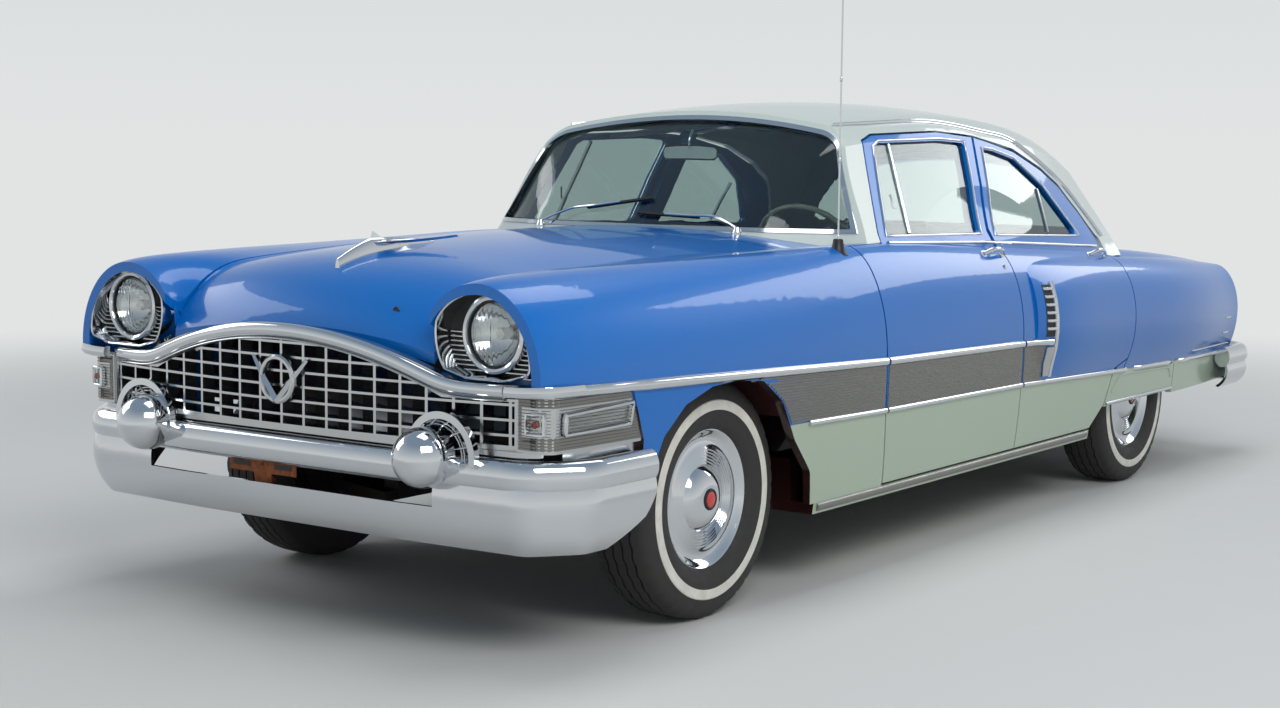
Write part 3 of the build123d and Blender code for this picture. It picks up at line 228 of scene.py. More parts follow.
# Engine enamel: mid blue grey stove paint over cast iron, thick in the corners
engineEnamel, tree, shader, place = newMaterial(
    "engineStoveEnamel", "iron", Base_Color="#4B5B60", Roughness=0.4, Coat_Weight=0.3)
grain = addNode(tree, "ShaderNodeTexNoise", {"Vector": (place, "Object"), "Scale": 1000 / 8, "Detail": 5.0})
addNode(tree, "ShaderNodeBump", {"Height": (grain, 0), "Strength": 0.3, "Distance": 0.0008},
        (shader, "Normal"))

# Moulded black rubber: satin and fine grained, for aerial foot, wiper blades, gaskets and hoses
blackRubber, tree, shader, place = newMaterial(
    "mouldedBlackRubber", "plastic", Base_Color="#101011", Roughness=0.45, IOR=1.5)
grain = addNode(tree, "ShaderNodeTexNoise", {"Vector": (place, "Object"), "Scale": 1000 / 3, "Detail": 3.0})
addNode(tree, "ShaderNodeBump", {"Height": (grain, 0), "Strength": 0.1, "Distance": 0.0002},
        (shader, "Normal"))

# Cream cellulose plastic: steering wheel rim and knobs, moulded and polished
cream, tree, shader, place = newMaterial(
    "polishedCreamPlastic", "plastic", Base_Color="#C9C6B4", Roughness=0.25, IOR=1.49, Coat_Weight=0.3)
cloud = addNode(tree, "ShaderNodeTexNoise", {"Vector": (place, "Object"), "Scale": 1000 / 30, "Detail": 3.0})
addNode(tree, "ShaderNodeMix", {"Factor": (cloud, 0), "A": linear("#BDB9A4"), "B": linear("#D6D4C6")},
        (shader, "Base Color"), data_type="RGBA")

# Red enamel disc in the middle of each wheel cover: fired, glassy
redEnamel, tree, shader, place = newMaterial(
    "firedRedEnamel", "plastic", Base_Color="#C4161C", Roughness=0.25, Coat_Weight=0.8)
cloud = addNode(tree, "ShaderNodeTexNoise", {"Vector": (place, "Object"), "Scale": 1000 / 15, "Detail": 3.0})
addNode(tree, "ShaderNodeMix", {"Factor": (cloud, 0), "A": linear("#B01218"), "B": linear("#D42026")},
        (shader, "Base Color"), data_type="RGBA")

# Woven seat cloth: blue grey wool broadcloth, dull; its threads are drawn 6 mm coarse so that they show
seatCloth, tree, shader, place = newMaterial(
    "wovenBroadcloth", "cloth", Base_Color="#4C5566", Roughness=0.9, Sheen_Weight=0.3)
weave = addNode(tree, "ShaderNodeTexWave", {"Vector": (place, "Object"), "Scale": 50.0, "Distortion": 1.0},
                wave_type="BANDS", bands_direction="X")
weft = addNode(tree, "ShaderNodeTexWave", {"Vector": (place, "Object"), "Scale": 50.0, "Distortion": 1.0},
               wave_type="BANDS", bands_direction="Y")
cross = addNode(tree, "ShaderNodeMath", {0: (weave, 1), 1: (weft, 1)}, operation="MULTIPLY")
addNode(tree, "ShaderNodeMix", {"Factor": (cross, 0), "A": linear("#3A4353"), "B": linear("#6B768D")},
        (shader, "Base Color"), data_type="RGBA")
addNode(tree, "ShaderNodeBump", {"Height": (cross, 0), "Strength": 0.3, "Distance": 0.0006},
        (shader, "Normal"))

# Leather cloth: pale blue grey coated fabric, satin, its 1 mm pressed grain drawn 5 mm coarse
leatherCloth, tree, shader, place = newMaterial(
    "grainedLeatherCloth", "cloth", Base_Color="#8FA0AE", Roughness=0.5, IOR=1.5)
grain = addNode(tree, "ShaderNodeTexVoronoi", {"Vector": (place, "Object"), "Scale": 1000 / 5})
addNode(tree, "ShaderNodeBump", {"Height": (grain, 0), "Strength": 0.25, "Distance": 0.0006},
        (shader, "Normal"))

# Looped wool carpet: charcoal and dull, its 3 mm loops drawn 5 mm coarse so that they show
carpet, tree, shader, place = newMaterial(
    "loopedCarpet", "cloth", Base_Color="#23252A", Roughness=0.95, Sheen_Weight=0.2)
loops = addNode(tree, "ShaderNodeTexNoise", {"Vector": (place, "Object"), "Scale": 1000 / 5, "Detail": 2.0})
addNode(tree, "ShaderNodeBump", {"Height": (loops, 0), "Strength": 0.8, "Distance": 0.002},
        (shader, "Normal"))

# Dash enamel: blue stove enamel on pressed steel, a softer shine than the body's
dashEnamel, tree, shader, place = newMaterial(
    "dashStoveEnamel", "body_paint", Base_Color="#16508A", Roughness=0.35, Coat_Weight=0.6)
peel = addNode(tree, "ShaderNodeTexNoise", {"Vector": (place, "Object"), "Scale": 1000 / 8, "Detail": 2.0})
addNode(tree, "ShaderNodeBump", {"Height": (peel, 0), "Strength": 0.06, "Distance": 0.0004},
        (shader, "Normal"))

# Radiator core: copper fins on brass tubes, painted black, satin, with the fins seen as fine ribs
coreBlack, tree, shader, place = newMaterial(
    "radiatorCore", "core", Base_Color="#16181A", Metallic=0.4, Roughness=0.5)
fins = addNode(tree, "ShaderNodeTexWave", {"Vector": (place, "Object"), "Scale": 60.0},
               wave_type="BANDS", bands_direction="Z")
addNode(tree, "ShaderNodeBump", {"Height": (fins, 1), "Strength": 0.6, "Distance": 0.002},
        (shader, "Normal"))

# Pressed lamp glass: clear, with faint ripples
lampGlass, tree, shader, place = newMaterial(
    "pressedLampGlass", "lamp_glass", Base_Color="#F4F6F4", Roughness=0.02, IOR=1.5,
    Transmission_Weight=1.0)
ripple = addNode(tree, "ShaderNodeTexNoise", {"Vector": (place, "Object"), "Scale": 1000 / 20, "Detail": 2.0})
addNode(tree, "ShaderNodeBump", {"Height": (ripple, 0), "Strength": 0.1, "Distance": 0.001},
        (shader, "Normal"))

# Ruby lamp glass: coloured in the melt, half clear, pressed with level flutes
rubyGlass, tree, shader, place = newMaterial(
    "rubyLampGlass", "red_glass", Base_Color="#C0101A", Roughness=0.08, IOR=1.5, Transmission_Weight=0.5)
ripple = addNode(tree, "ShaderNodeTexWave", {"Vector": (place, "Object"), "Scale": 60.0},
                 wave_type="BANDS", bands_direction="Z")
addNode(tree, "ShaderNodeBump", {"Height": (ripple, 1), "Strength": 0.4, "Distance": 0.001},
        (shader, "Normal"))
print("materials made")

nodeMaterials = {
    blueEnamel: "hood trunk_lid rear_deck tail_panel",
    twoToneEnamel: "cowl front_fenders quarter_panels fender_skirts body_sides door_front_left "
                   "door_front_right door_rear_left door_rear_right",
    paleEnamel: "roof",
    chrome: "screen_frames front_bumper rear_bumper wheel_front_left wheel_front_right "
            "wheel_rear_left wheel_rear_right aerial headlamps",
    dieCast: "grille front_apron",
    rubber: "tyre_front_left tyre_front_right tyre_rear_left tyre_rear_right",
    glass: "windscreen back_light glass_front_left glass_front_right glass_rear_left glass_rear_right",
    chassisBlack: "chassis_frame fuel_tank",
    carpet: "floor_pan",
    redOxide: "front_wheelhouses rear_wheelhouses",
    castIron: "front_suspension rear_axle exhaust knuckle_left knuckle_right",
    engineEnamel: "engine_block",
    seatCloth: "front_seat rear_seat",
    dashEnamel: "dashboard steering_column steering_wheel",
    coreBlack: "radiator",
    lampGlass: "parking_lamps",
    rubyGlass: "tail_lamps",
}
for material, names in nodeMaterials.items():
    for name in names.split():
        slots = nodes[name].data.materials
        slots.clear()
        slots.append(material)
print("CAD nodes painted")

# Stage: a wide pale floor that turns into the backdrop's own colour far off, and a soft sky
stage = dict(
    floor="#CFCFCC", horizon="#E2E4E4", zenith="#8A9CAE", strength=0.6,
    radius=70.0, sides=48,
    near=3.6, far=9.0,  # metres from the car where the floor starts to turn, and where it has turned
)
floorMesh = bpy.data.meshes.new("studioFloor")
turns = [k * math.tau / stage["sides"] for k in range(stage["sides"])]
floorEdge = [(stage["radius"] * math.cos(a), stage["radius"] * math.sin(a), 0) for a in turns]
floorMesh.from_pydata(floorEdge, [], [tuple(range(stage["sides"]))])
floor = bpy.data.objects.new("studioFloor", floorMesh)
bpy.context.scene.collection.objects.link(floor)
floorPaint, tree, shader, place = newMaterial(
    "studioFloorPaint", "plastic", Base_Color=stage["floor"], Roughness=0.8)
grain = addNode(tree, "ShaderNodeTexNoise", {"Vector": (place, "Object"), "Scale": 4.0, "Detail": 6.0})
addNode(tree, "ShaderNodeMapRange", {0: (grain, 0), 1: 0.3, 2: 0.7, 3: 0.7, 4: 0.9}, (shader, "Roughness"))
reach = addNode(tree, "ShaderNodeVectorMath", {0: (place, "Object")}, operation="LENGTH")
away = addNode(tree, "ShaderNodeMapRange", {0: (reach, "Value"), 1: stage["near"], 2: stage["far"]},
               interpolation_type="SMOOTHSTEP")
glow = addNode(tree, "ShaderNodeEmission", {"Color": linear(stage["horizon"]), "Strength": 1.0})
addNode(tree, "ShaderNodeMixShader", {0: (away, 0), 1: (shader, 0), 2: (glow, 0)},
        (tree.nodes["Material Output"], "Surface"))
floorMesh.materials.append(floorPaint)

# the backdrop is seen at full strength, by the camera, in metal and through glass, and lights the car less
world = bpy.data.worlds.new("studioRoom")
bpy.context.scene.world = world
world.use_nodes = True
tree = world.node_tree
background = tree.nodes["Background"]
ray = addNode(tree, "ShaderNodeLightPath")
seen = addNode(tree, "ShaderNodeMath", {0: (ray, "Is Camera Ray"), 1: (ray, "Is Glossy Ray")},
               operation="MAXIMUM")
shown = addNode(tree, "ShaderNodeMath", {0: (seen, 0), 1: (ray, "Is Transmission Ray")},
                operation="MAXIMUM")
addNode(tree, "ShaderNodeMapRange", {0: (shown, 0), 3: stage["strength"], 4: 1.0}, (background, "Strength"))
place = addNode(tree, "ShaderNodeTexCoord")
split = addNode(tree, "ShaderNodeSeparateXYZ", {0: (place, "Generated")})
upward = addNode(tree, "ShaderNodeMapRange", {0: (split, 2), 1: 0.0, 2: 0.8})
sky = addNode(tree, "ShaderNodeValToRGB", {0: (upward, 0)}, (background, "Color"))
sky.color_ramp.elements[0].color = linear(stage["horizon"])
sky.color_ramp.elements[1].color = linear(stage["zenith"])


def softBox(name, spot, aim, size, power):
    data = bpy.data.lights.new(name, "AREA")
    data.shape = "RECTANGLE"
    data.size, data.size_y = size
    data.energy = power
    lamp = bpy.data.objects.new(name, data)
    bpy.context.scene.collection.objects.link(lamp)
    lamp.location = spot
    lamp.rotation_euler = (Vector(aim) - Vector(spot)).to_track_quat("-Z", "Y").to_euler()


softBox("keySoftBox", (5.0, 6.0, 5.5), (0.5, 0.3, 0.7), (5.0, 3.0), 330.0)
softBox("fillSoftBox", (3.0, -6.5, 4.0), (0.5, 0.0, 0.7), (5.0, 3.0), 120.0)
softBox("topSoftBox", (-0.5, 0.5, 6.5), (-0.5, 0.0, 0.5), (7.0, 3.0), 180.0)
softBox("rearSoftBox", (-7.0, 3.0, 4.5), (-1.0, 0.0, 0.7), (4.0, 3.0), 120.0)

# Camera from the photograph's vanishing lines and the wheel sizes
camera = dict(spot=(6.6876, 4.1178, 1.4076), yaw=-2.52136, pitch=-0.10401, roll=0.00993, focal=2015.23,
              width=1280.0, drop=1.84)
look = Vector((math.cos(camera["yaw"]) * math.cos(camera["pitch"]),
               math.sin(camera["yaw"]) * math.cos(camera["pitch"]), math.sin(camera["pitch"])))
side = Vector((math.sin(camera["yaw"]), -math.cos(camera["yaw"]), 0.0))
upright = side.cross(look)
right = side * math.cos(camera["roll"]) + upright * math.sin(camera["roll"])
top = upright * math.cos(camera["roll"]) - side * math.sin(camera["roll"])
cameraData = bpy.data.cameras.new("photoCamera")
cameraData.sensor_width = 36.0
cameraData.lens = camera["focal"] / camera["width"] * 36.0
cameraData.shift_y = camera["drop"] / camera["width"]
cameraData.clip_end = 300.0
photoCamera = bpy.data.objects.new("photoCamera", cameraData)
bpy.context.scene.collection.objects.link(photoCamera)
photoCamera.matrix_world = Matrix((right, top, -look)).transposed().to_4x4()
photoCamera.location = camera["spot"]
bpy.context.scene.camera = photoCamera
bpy.context.scene.view_settings.view_transform = "Standard"
print("stage, lights and camera set")


def makePiece(name, shape, material, body, both=False, bevel=0.0, sharp=35.0, soften=0):
    # shape is (points, faces) in metres; both also makes the right-hand one, seen in a mirror
    made = []
    for side, sign in ([("Left", 1), ("Right", -1)] if both else [("", 1)]):
        build = bmesh.new()
        corners = [build.verts.new((x, y * sign, z)) for x, y, z in shape[0]]
        for face in shape[1]:
            if len(set(face)) > 2:
                build.faces.new([corners[i] for i in face])
        bmesh.ops.remove_doubles(build, verts=build.verts, dist=1e-6)
        bmesh.ops.dissolve_degenerate(build, edges=build.edges, dist=1e-6)
        bmesh.ops.recalc_face_normals(build, faces=build.faces)
        if bevel:
            edges = [e for e in build.edges if e.calc_face_angle(0.0) > 0.5]
            bmesh.ops.bevel(build, geom=edges, offset=bevel / 1000, segments=2, profile=0.6, affect="EDGES",
                            clamp_overlap=True)
        mesh = bpy.data.meshes.new(name + side)
        build.to_mesh(mesh)
        build.free()
        mesh.polygons.foreach_set("use_smooth", [True] * len(mesh.polygons))
        mesh.set_sharp_from_angle(angle=math.radians(sharp))
        mesh.materials.append(material)
        piece = bpy.data.objects.new(name + side, mesh)
        bpy.context.scene.collection.objects.link(piece)
        if soften:
            rounder = piece.modifiers.new("rounder", "SUBSURF")
            rounder.levels = rounder.render_levels = soften
        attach(piece, body.replace("left", "right") if sign < 0 else body)
        made.append(piece)
    return made


def merge(shapes):
    points, faces = [], []
    for some, joined in shapes:
        start = len(points)
        points += some
        faces += [tuple(start + i for i in face) for face in joined]
    return points, faces


def skin(rings, loop=False, caps=True):
    # closed outlines joined one to the next
    size = len(rings[0])
    points = [tuple(p) for ring in rings for p in ring]
    faces = []
    for i in range(len(rings) if loop else len(rings) - 1):
        a, b = i * size, (i + 1) % len(rings) * size
        faces += [(a + k, a + (k + 1) % size, b + (k + 1) % size, b + k) for k in range(size)]
    if caps and not loop:
        faces += [tuple(range(size)), tuple(range(len(points) - size, len(points)))]
    return points, faces


def crown(width, height, steps=6, sink=1.5):  # a moulding's section in mm: domed outside, flat inside
    arc = [(width / 2 * math.cos(math.pi * k / steps), height * math.sin(math.pi * k / steps))
           for k in range(steps + 1)]
    return arc + [(-width / 2, -sink), (width / 2, -sink)]


def circle(radius, steps=10):
    return [(radius * math.cos(math.tau * k / steps), radius * math.sin(math.tau * k / steps))
            for k in range(steps)]


def strip(path, outs, section, loop=False, scales=None):
    # a section in mm, as (across, out), run along a path
    path = [Vector(p) for p in path]
    rings = []
    for i, point in enumerate(path):
        before = path[i - 1] if loop or i else point
        after = path[(i + 1) % len(path)] if loop or i < len(path) - 1 else point
        along = (after - before).normalized()
        across = Vector(outs[i]).cross(along).normalized()
        out = along.cross(across)
        grow = (scales[i] if scales else 1.0) / 1000
        rings.append([point + across * (a * grow) + out * (o * grow) for a, o in section])
    return skin(rings, loop)


def through(points, steps=6):  # a smooth line through points
    points = [Vector(p) for p in points]
    line = []
    for i in range(len(points) - 1):
        a, b, c, d = points[max(i - 1, 0)], points[i], points[i + 1], points[min(i + 2, len(points) - 1)]
        for k in range(steps):
            t = k / steps
            line.append(0.5 * ((2 * b) + (c - a) * t + (2 * a - 5 * b + 4 * c - d) * t * t
                               + (3 * b - a - 3 * c + d) * t ** 3))
    return line + [points[-1]]


def bar(points, radius, steps=6, sides=10, up=(0, 0, 1), scales=None):  # a round bar on a smooth line
    line = through(points, steps)
    return strip(line, [up] * len(line), circle(radius, sides), scales=scales)


def turn(profile, centre, axis, steps=96):  # a closed outline in mm, as (radius, along), turned about an axis
    rings = []
    for k in range(steps):
        c, s = math.cos(math.tau * k / steps), math.sin(math.tau * k / steps)
        ring = []
        for r, a in profile:
            spot = {"X": (a, r * c, r * s), "Y": (r * c, a, r * s), "Z": (r * c, r * s, a)}[axis]
            ring.append(Vector(centre) + Vector(spot) / 1000)
        rings.append(ring)
    return skin(rings, loop=True)


def slab(outline, depth):  # a flat outline given thickness
    return skin([[Vector(p) for p in outline], [Vector(p) + Vector(depth) for p in outline]])


def treeOf(names):
    points, faces = [], []
    for name in names.split():
        start = len(points)
        mesh = nodes[name].data
        points += [v.co.copy() for v in mesh.vertices]
        faces += [[start + i for i in p.vertices] for p in mesh.polygons]
    return BVHTree.FromPolygons(points, faces)


def touch(tree, start, way):  # where a straight look meets the CAD surface, and the way out of it
    way = Vector(way).normalized()
    spot, normal, index, reach = tree.ray_cast(Vector(start), way)
    if spot is None:
        print("nothing met from", tuple(round(v, 3) for v in start))
        return Vector(start) + way * 0.5, -way
    return spot, normal if normal.dot(way) < 0 else -normal


def height(rows, x):  # the height at x on a line given by a table of (x, z)
    rows = sorted(rows)
    for (x0, z0), (x1, z1) in zip(rows, rows[1:]):
        if x <= x1:
            return z0 + (z1 - z0) * (x - x0) / (x1 - x0)
    return rows[-1][1]


outside = dict(side=1.4, front=3.0, rear=-3.4)  # metres from the middle, where looks at the car start


def fromSide(tree, x, z):
    return touch(tree, (x, outside["side"], z), (0, -1, 0))


def fromFront(tree, y, z):
    return touch(tree, (outside["front"], y, z), (-1, 0, 0))


def fromBehind(tree, y, z):
    return touch(tree, (outside["rear"], y, z), (1, 0, 0))


def alongSide(tree, rows, x0, x1, step=0.06):  # places met from the side, on a line given by (x, z)
    count = max(2, int(abs(x1 - x0) / step) + 2)
    spots = [x0 + (x1 - x0) * k / (count - 1) for k in range(count)]
    return [fromSide(tree, x, height(rows, x)) for x in spots]


def stripOn(hits, section, loop=False, scales=None):  # a strip laid on the places met
    return strip([spot for spot, out in hits], [out for spot, out in hits], section, loop, scales)


def around(corners, steps):  # points on a closed outline of flat corners, as many on each side
    points = []
    for (a0, b0), (a1, b1) in zip(corners, corners[1:] + corners[:1]):
        points += [(a0 + (a1 - a0) * t / steps, b0 + (b1 - b0) * t / steps) for t in range(steps)]
    return points


sideTree = treeOf("front_fenders door_front_left door_rear_left quarter_panels fender_skirts body_sides "
                  "front_apron")

# Tyres: tread ribs with zigzag grooves and a white ring on the outer wall; outlines are (radius, along) in mm
tyre = dict(
    radius=362, steps=160, grooves=(-50, -17, 17, 50), grooveWidth=7, grooveDepth=8, zigzag=4,
    crown=1.5, crownAt=50,  # the tread falls by crown at crownAt from its middle
    notch=4, shoulder=342,  # small cuts across the shoulder, outside this radius
    wall=[(214, 84), (230, 95), (250, 101), (268, 102.5), (284, 102.8), (300, 101), (326, 98), (342, 92),
          (350, 85), (356, 76)],
    inside=[(200, 62), (200, -62)],
    white=[(268, 101.6), (270, 103.6), (297, 103.4), (300, 100.5), (284, 98)])
axles = dict(frontX=1.745, frontY=0.7595, rearX=-1.481, rearY=0.7735, z=0.362)


def tyreShape(centre, sign):
    tread = []
    for middle in tyre["grooves"]:
        half = tyre["grooveWidth"] / 2
        tread += [(0, middle - half), (-tyre["grooveDepth"], middle - half + 1),
                  (-tyre["grooveDepth"], middle + half - 1), (0, middle + half)]
    rings = []
    for k in range(tyre["steps"]):
        angle = math.tau * k / tyre["steps"]
        shift = tyre["zigzag"] * (1 if k % 4 < 2 else -1) * 0.5
        notch = tyre["notch"] if k % 4 == 0 else 0
        wall = [(r - (notch if r >= tyre["shoulder"] else 0), a) for r, a in tyre["wall"]]
        section = [(r, -a) for r, a in wall]
        for drop, a in tread:
            fall = (abs(a) / tyre["crownAt"]) ** 2 * tyre["crown"]
            section.append((tyre["radius"] + drop - fall, a + shift))
        section += wall[::-1] + tyre["inside"]
        rings.append([Vector((centre[0] + r / 1000 * math.cos(angle), centre[1] + sign * a / 1000,
                              centre[2] + r / 1000 * math.sin(angle))) for r, a in section])
    return skin(rings, loop=True)


# Wheel: a stepped bright cover with a plain red disc hides the nuts; rim and brake drum behind it
cover = dict(
    steps=6, firstStep=103, stepWidth=9, stepRise=3.0, stepFall=0.5,
    hub=[(31, 90), (40, 90), (55, 87.5), (70, 82), (82, 75), (91, 67), (98, 60), (101, 57)],
    edge=[(160, 60), (172, 57), (184, 58), (194, 64), (202, 73), (208, 77), (213, 76), (214, 70), (205, 62),
          (190, 54), (60, 54), (31, 80)],
    disc=[(0, 96), (14, 95.6), (24, 93.5), (24, 80), (0, 80)],
    collar=[(24, 94.5), (27, 95.5), (32, 93), (34, 88), (24, 82)])
rimOutline = [(216, 66), (221, 72), (224, 70), (222, 62), (205, 50), (200, 48), (200, -60), (216, -72),
              (222, -80), (218, -84), (205, -78), (190, -60), (172, -50), (172, 30), (150, 44), (26, 40),
              (26, 52), (160, 53), (190, 54), (204, 58)]
drumOutline = [(24.2, -64), (140, -66), (152, -62), (152, -50), (146, -46), (152, -42), (152, -30),
               (146, -26), (152, -22), (152, 20), (120, 38), (24.2, 38)]
dome = list(cover["hub"])
for k in range(cover["steps"]):
    radius = cover["firstStep"] + k * cover["stepWidth"]
    foot = 60 + cover["stepFall"] * k
    dome += [(radius, foot + cover["stepRise"]), (radius + cover["stepWidth"] - 2, foot)]
dome += cover["edge"]
turnedPieces = [  # name, outline, steps round, material, the angle in degrees that stays sharp
    ("whiteWall_", tyre["white"], 128, whitewall, 35), ("wheelCover_", dome, 128, chrome, 24),
    ("rim_", rimOutline, 96, redOxide, 35), ("brakeDrum_", drumOutline, 72, castIron, 35),
    ("hubDisc_", cover["disc"], 48, redEnamel, 35), ("hubCollar_", cover["collar"], 48, blackRubber, 35)]
for end in ("front", "rear"):
    for side, sign in (("left", 1), ("right", -1)):
        which = end + "_" + side
        centre = (axles[end + "X"], sign * axles[end + "Y"], axles["z"])
        body = "wheel_" + which
        tread, = makePiece("tyre_" + which + "Tread", tyreShape(centre, sign), rubber, body, sharp=30)
        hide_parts("tyre_" + which)
        for name, outline, steps, material, sharp in turnedPieces:
            shape = turn([(r, a * sign) for r, a in outline], centre, "Y", steps)
            piece, = makePiece(name + which, shape, material, body, sharp=sharp)
            if name == "wheelCover_":
                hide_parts(body)
print("wheels and tyres made")

# Side mouldings: upper and lower strips, split at the shut lines, and the ribbed panel between them
moulding = dict(
    upper=[(-0.47, 0.682), (-0.18, 0.690), (0.85, 0.710), (1.99, 0.748), (2.63, 0.766)],
    lower=[(-2.60, 0.478), (-2.43, 0.484), (-1.15, 0.510), (-0.20, 0.537), (0.835, 0.547), (1.40, 0.558)],
    upperWidth=27, lowerWidth=21, proud=13, ribs=17, ribPitch=8.2, ribProud=3.6)
shut = dict(fenderRear=0.863, doorFront=0.852, doorFrontRear=-0.182, doorRear=-0.196, louvre=-0.395,
            doorRearRear=-1.181)  # X of the trim's ends at the shut lines
for span, x0, x1, body in [("Fender", 2.50, shut["fenderRear"], "body"),
                           ("FrontDoor", shut["doorFront"], shut["doorFrontRear"], "door_front_left"),
                           ("RearDoor", shut["doorRear"], shut["louvre"], "door_rear_left")]:
    hits = alongSide(sideTree, moulding["upper"], x0, x1)
    grow = [1.0 + 0.3 * max(0.0, p.x - 0.86) / 1.7 for p, out in hits]  # broader towards the lamp
    section = crown(moulding["upperWidth"], moulding["proud"])
    makePiece("upperMoulding" + span, stripOn(hits, section, scales=grow), chrome, body, both=True)
for span, x0, x1, body in [("Fender", 1.345, 0.858, "body"),
                           ("FrontDoor", 0.846, shut["doorFrontRear"], "door_front_left"),
                           ("RearDoor", shut["doorRear"], shut["doorRearRear"], "door_rear_left"),
                           ("Quarter", -1.195, -2.585, "body")]:
    hits = alongSide(sideTree, moulding["lower"], x0, x1)
    section = crown(moulding["lowerWidth"], moulding["proud"] - 1)
    makePiece("lowerMoulding" + span, stripOn(hits, section), chrome, body, both=True)

# the ribs start behind the wheel arch, whose edge is given as (z, x)
archLine = [(0.30, 1.290), (0.40, 1.320), (0.51, 1.425), (0.58, 1.465), (0.64, 1.508), (0.69, 1.583),
            (0.72, 1.66)]
half = moulding["ribPitch"] / 2
ribSection = [(-half, 1.2), (-half * 0.5, 1.4), (-half * 0.3, moulding["ribProud"]),
              (half * 0.3, moulding["ribProud"]), (half * 0.5, 1.4), (half, 1.2), (half, -1), (-half, -1)]
for span, x0, x1, body in [("Fender", None, shut["fenderRear"], "body"),
                           ("FrontDoor", 0.845, shut["doorFrontRear"], "door_front_left"),
                           ("RearDoor", shut["doorRear"], -0.352, "door_rear_left")]:
    ribs = []
    for k in range(moulding["ribs"]):
        share = (k + 0.5) / moulding["ribs"]
        rows = [(x, height(moulding["lower"], x) * (1 - share) + height(moulding["upper"], x) * share
                 + 0.009 * (1 - share) - 0.012 * share) for x in (-0.5, 0.0, 0.5, 1.0, 1.7)]
        startX = x0 if x0 is not None else height(archLine, height(rows, 1.45)) - 0.012
        ribs.append(stripOn(alongSide(sideTree, rows, startX, x1, 0.09), ribSection))
    makePiece("ribbedPanel" + span, merge(ribs), stainless, body, both=True)

# Louvre at the front of the rear wing: a bright upright with short fins ahead of it, and a plate below
louvre = dict(x=-0.412, front=-0.354, rear=-0.408, fins=6, topZ=0.892, pitch=0.030, finHeight=0.011)
upright = [fromSide(sideTree, louvre["x"], z) for z in (0.552, 0.60, 0.66, 0.72, 0.78, 0.84, 0.89, 0.908)]
makePiece("louvreUpright", stripOn(upright, crown(17, 17)), chrome, "door_rear_left", both=True)


def louvreSkin(levels, section):  # rings over the door's skin, each corner as (x, how far out)
    return skin([[fromSide(sideTree, x, z)[0] + Vector((0, y, 0)) for x, y in section] for z in levels])


makePiece("louvreBacking", louvreSkin((0.705, 0.75, 0.80, 0.85, 0.90), (
    (-0.352, 0.002), (-0.38, 0.002), (-0.408, 0.004), (-0.408, -0.002), (-0.352, -0.002))), blackRubber,
          "door_rear_left", both=True)
fins = []
for k in range(louvre["fins"]):
    z = louvre["topZ"] - k * louvre["pitch"]
    front, out = fromSide(sideTree, louvre["front"], z)
    behind, out = fromSide(sideTree, louvre["rear"], z)
    outline = [front + Vector((0, 0.004, 0)), front + Vector((-0.006, 0.020, 0)),
               behind + Vector((0, 0.016, 0)), behind - Vector((0, 0.003, 0)), front - Vector((0, 0.003, 0))]
    fins.append(slab(outline, (0, 0, -louvre["finHeight"])))
makePiece("louvreFins", merge(fins), chrome, "door_rear_left", both=True, bevel=2.0)
makePiece("louvrePlate", louvreSkin((0.553, 0.60, 0.64, 0.665), (
    (-0.358, 0.009), (-0.382, 0.010), (-0.404, 0.012), (-0.404, -0.002), (-0.358, -0.002))), dieCast,
          "door_rear_left", both=True, bevel=2.0)

# Strips low down: along the sill, along the skirt's edge, and the fine ones near the tail
lowTrim = dict(sillLine=[(-1.05, 0.276), (1.35, 0.276)], sill=(1.245, -0.86), skirt=(-1.022, -1.762),
               tail=(-1.95, -2.57), dashX=-2.40, dash=0.09, dashZ=(0.645, 0.575))
hits = alongSide(treeOf("body_sides"), lowTrim["sillLine"], *lowTrim["sill"], 0.12)
makePiece("sillStrip", stripOn(hits, crown(26, 9)), stainless, "body", both=True)
hits = alongSide(sideTree, [(-1.9, 0.381), (-1.0, 0.383)], *lowTrim["skirt"])
makePiece("skirtStrip", stripOn(hits, crown(15, 9)), chrome, "body", both=True)
bead = [(-1.075, 0.425), (-1.13, 0.478), (-1.20, 0.490), (-1.45, 0.484), (-1.66, 0.478), (-1.715, 0.468),
        (-1.738, 0.430)]
hits = [fromSide(sideTree, p.x, p.z) for p in through([(x, 0, z) for x, z in bead], 5)]
makePiece("skirtBead", stripOn(hits, crown(9, 5)), twoToneEnamel, "body", both=True)
hits = alongSide(sideTree, [(-2.6, 0.516), (-1.9, 0.530)], *lowTrim["tail"])
makePiece("tailPinstripe", stripOn(hits, crown(6, 4)), chrome, "body", both=True)
for number, z in enumerate(lowTrim["dashZ"]):
    hits = alongSide(sideTree, [(-2.6, z), (-2.2, z)], lowTrim["dashX"],
                     lowTrim["dashX"] - lowTrim["dash"], 0.03)
    makePiece("tailDash" + str(number), stripOn(hits, crown(8, 5)), chrome, "body", both=True)
print("side trim made")

# Headlamps: bright hooded reveal, sealed beam in a chromed ring, and ribs below it
lamp = dict(y=0.715, z=0.906, floor=0.787, hood=0.175, ribs=10, ribPitch=0.0125, ribReach=0.165, steps=72,
            lens=86.0, lensRows=20, lensSides=120, bulge=17, flute=1.3)
lampCentre = Vector((0, lamp["y"], lamp["z"]))
fenderTree = treeOf("front_fenders")
looks = []  # the way and how far the lamp's tunnel reaches that way
for k in range(lamp["steps"]):
    angle = math.tau * k / lamp["steps"]
    way = Vector((0, math.cos(angle), math.sin(angle)))
    spot, normal, index, far = fenderTree.ray_cast(lampCentre + Vector((2.60, 0, 0)), way)
    far = min(far, lamp["hood"]) if spot is not None else lamp["hood"]
    if way.z < 0:
        far = min(far, (lamp["floor"] - lamp["z"]) / way.z)
    looks.append((way, far))
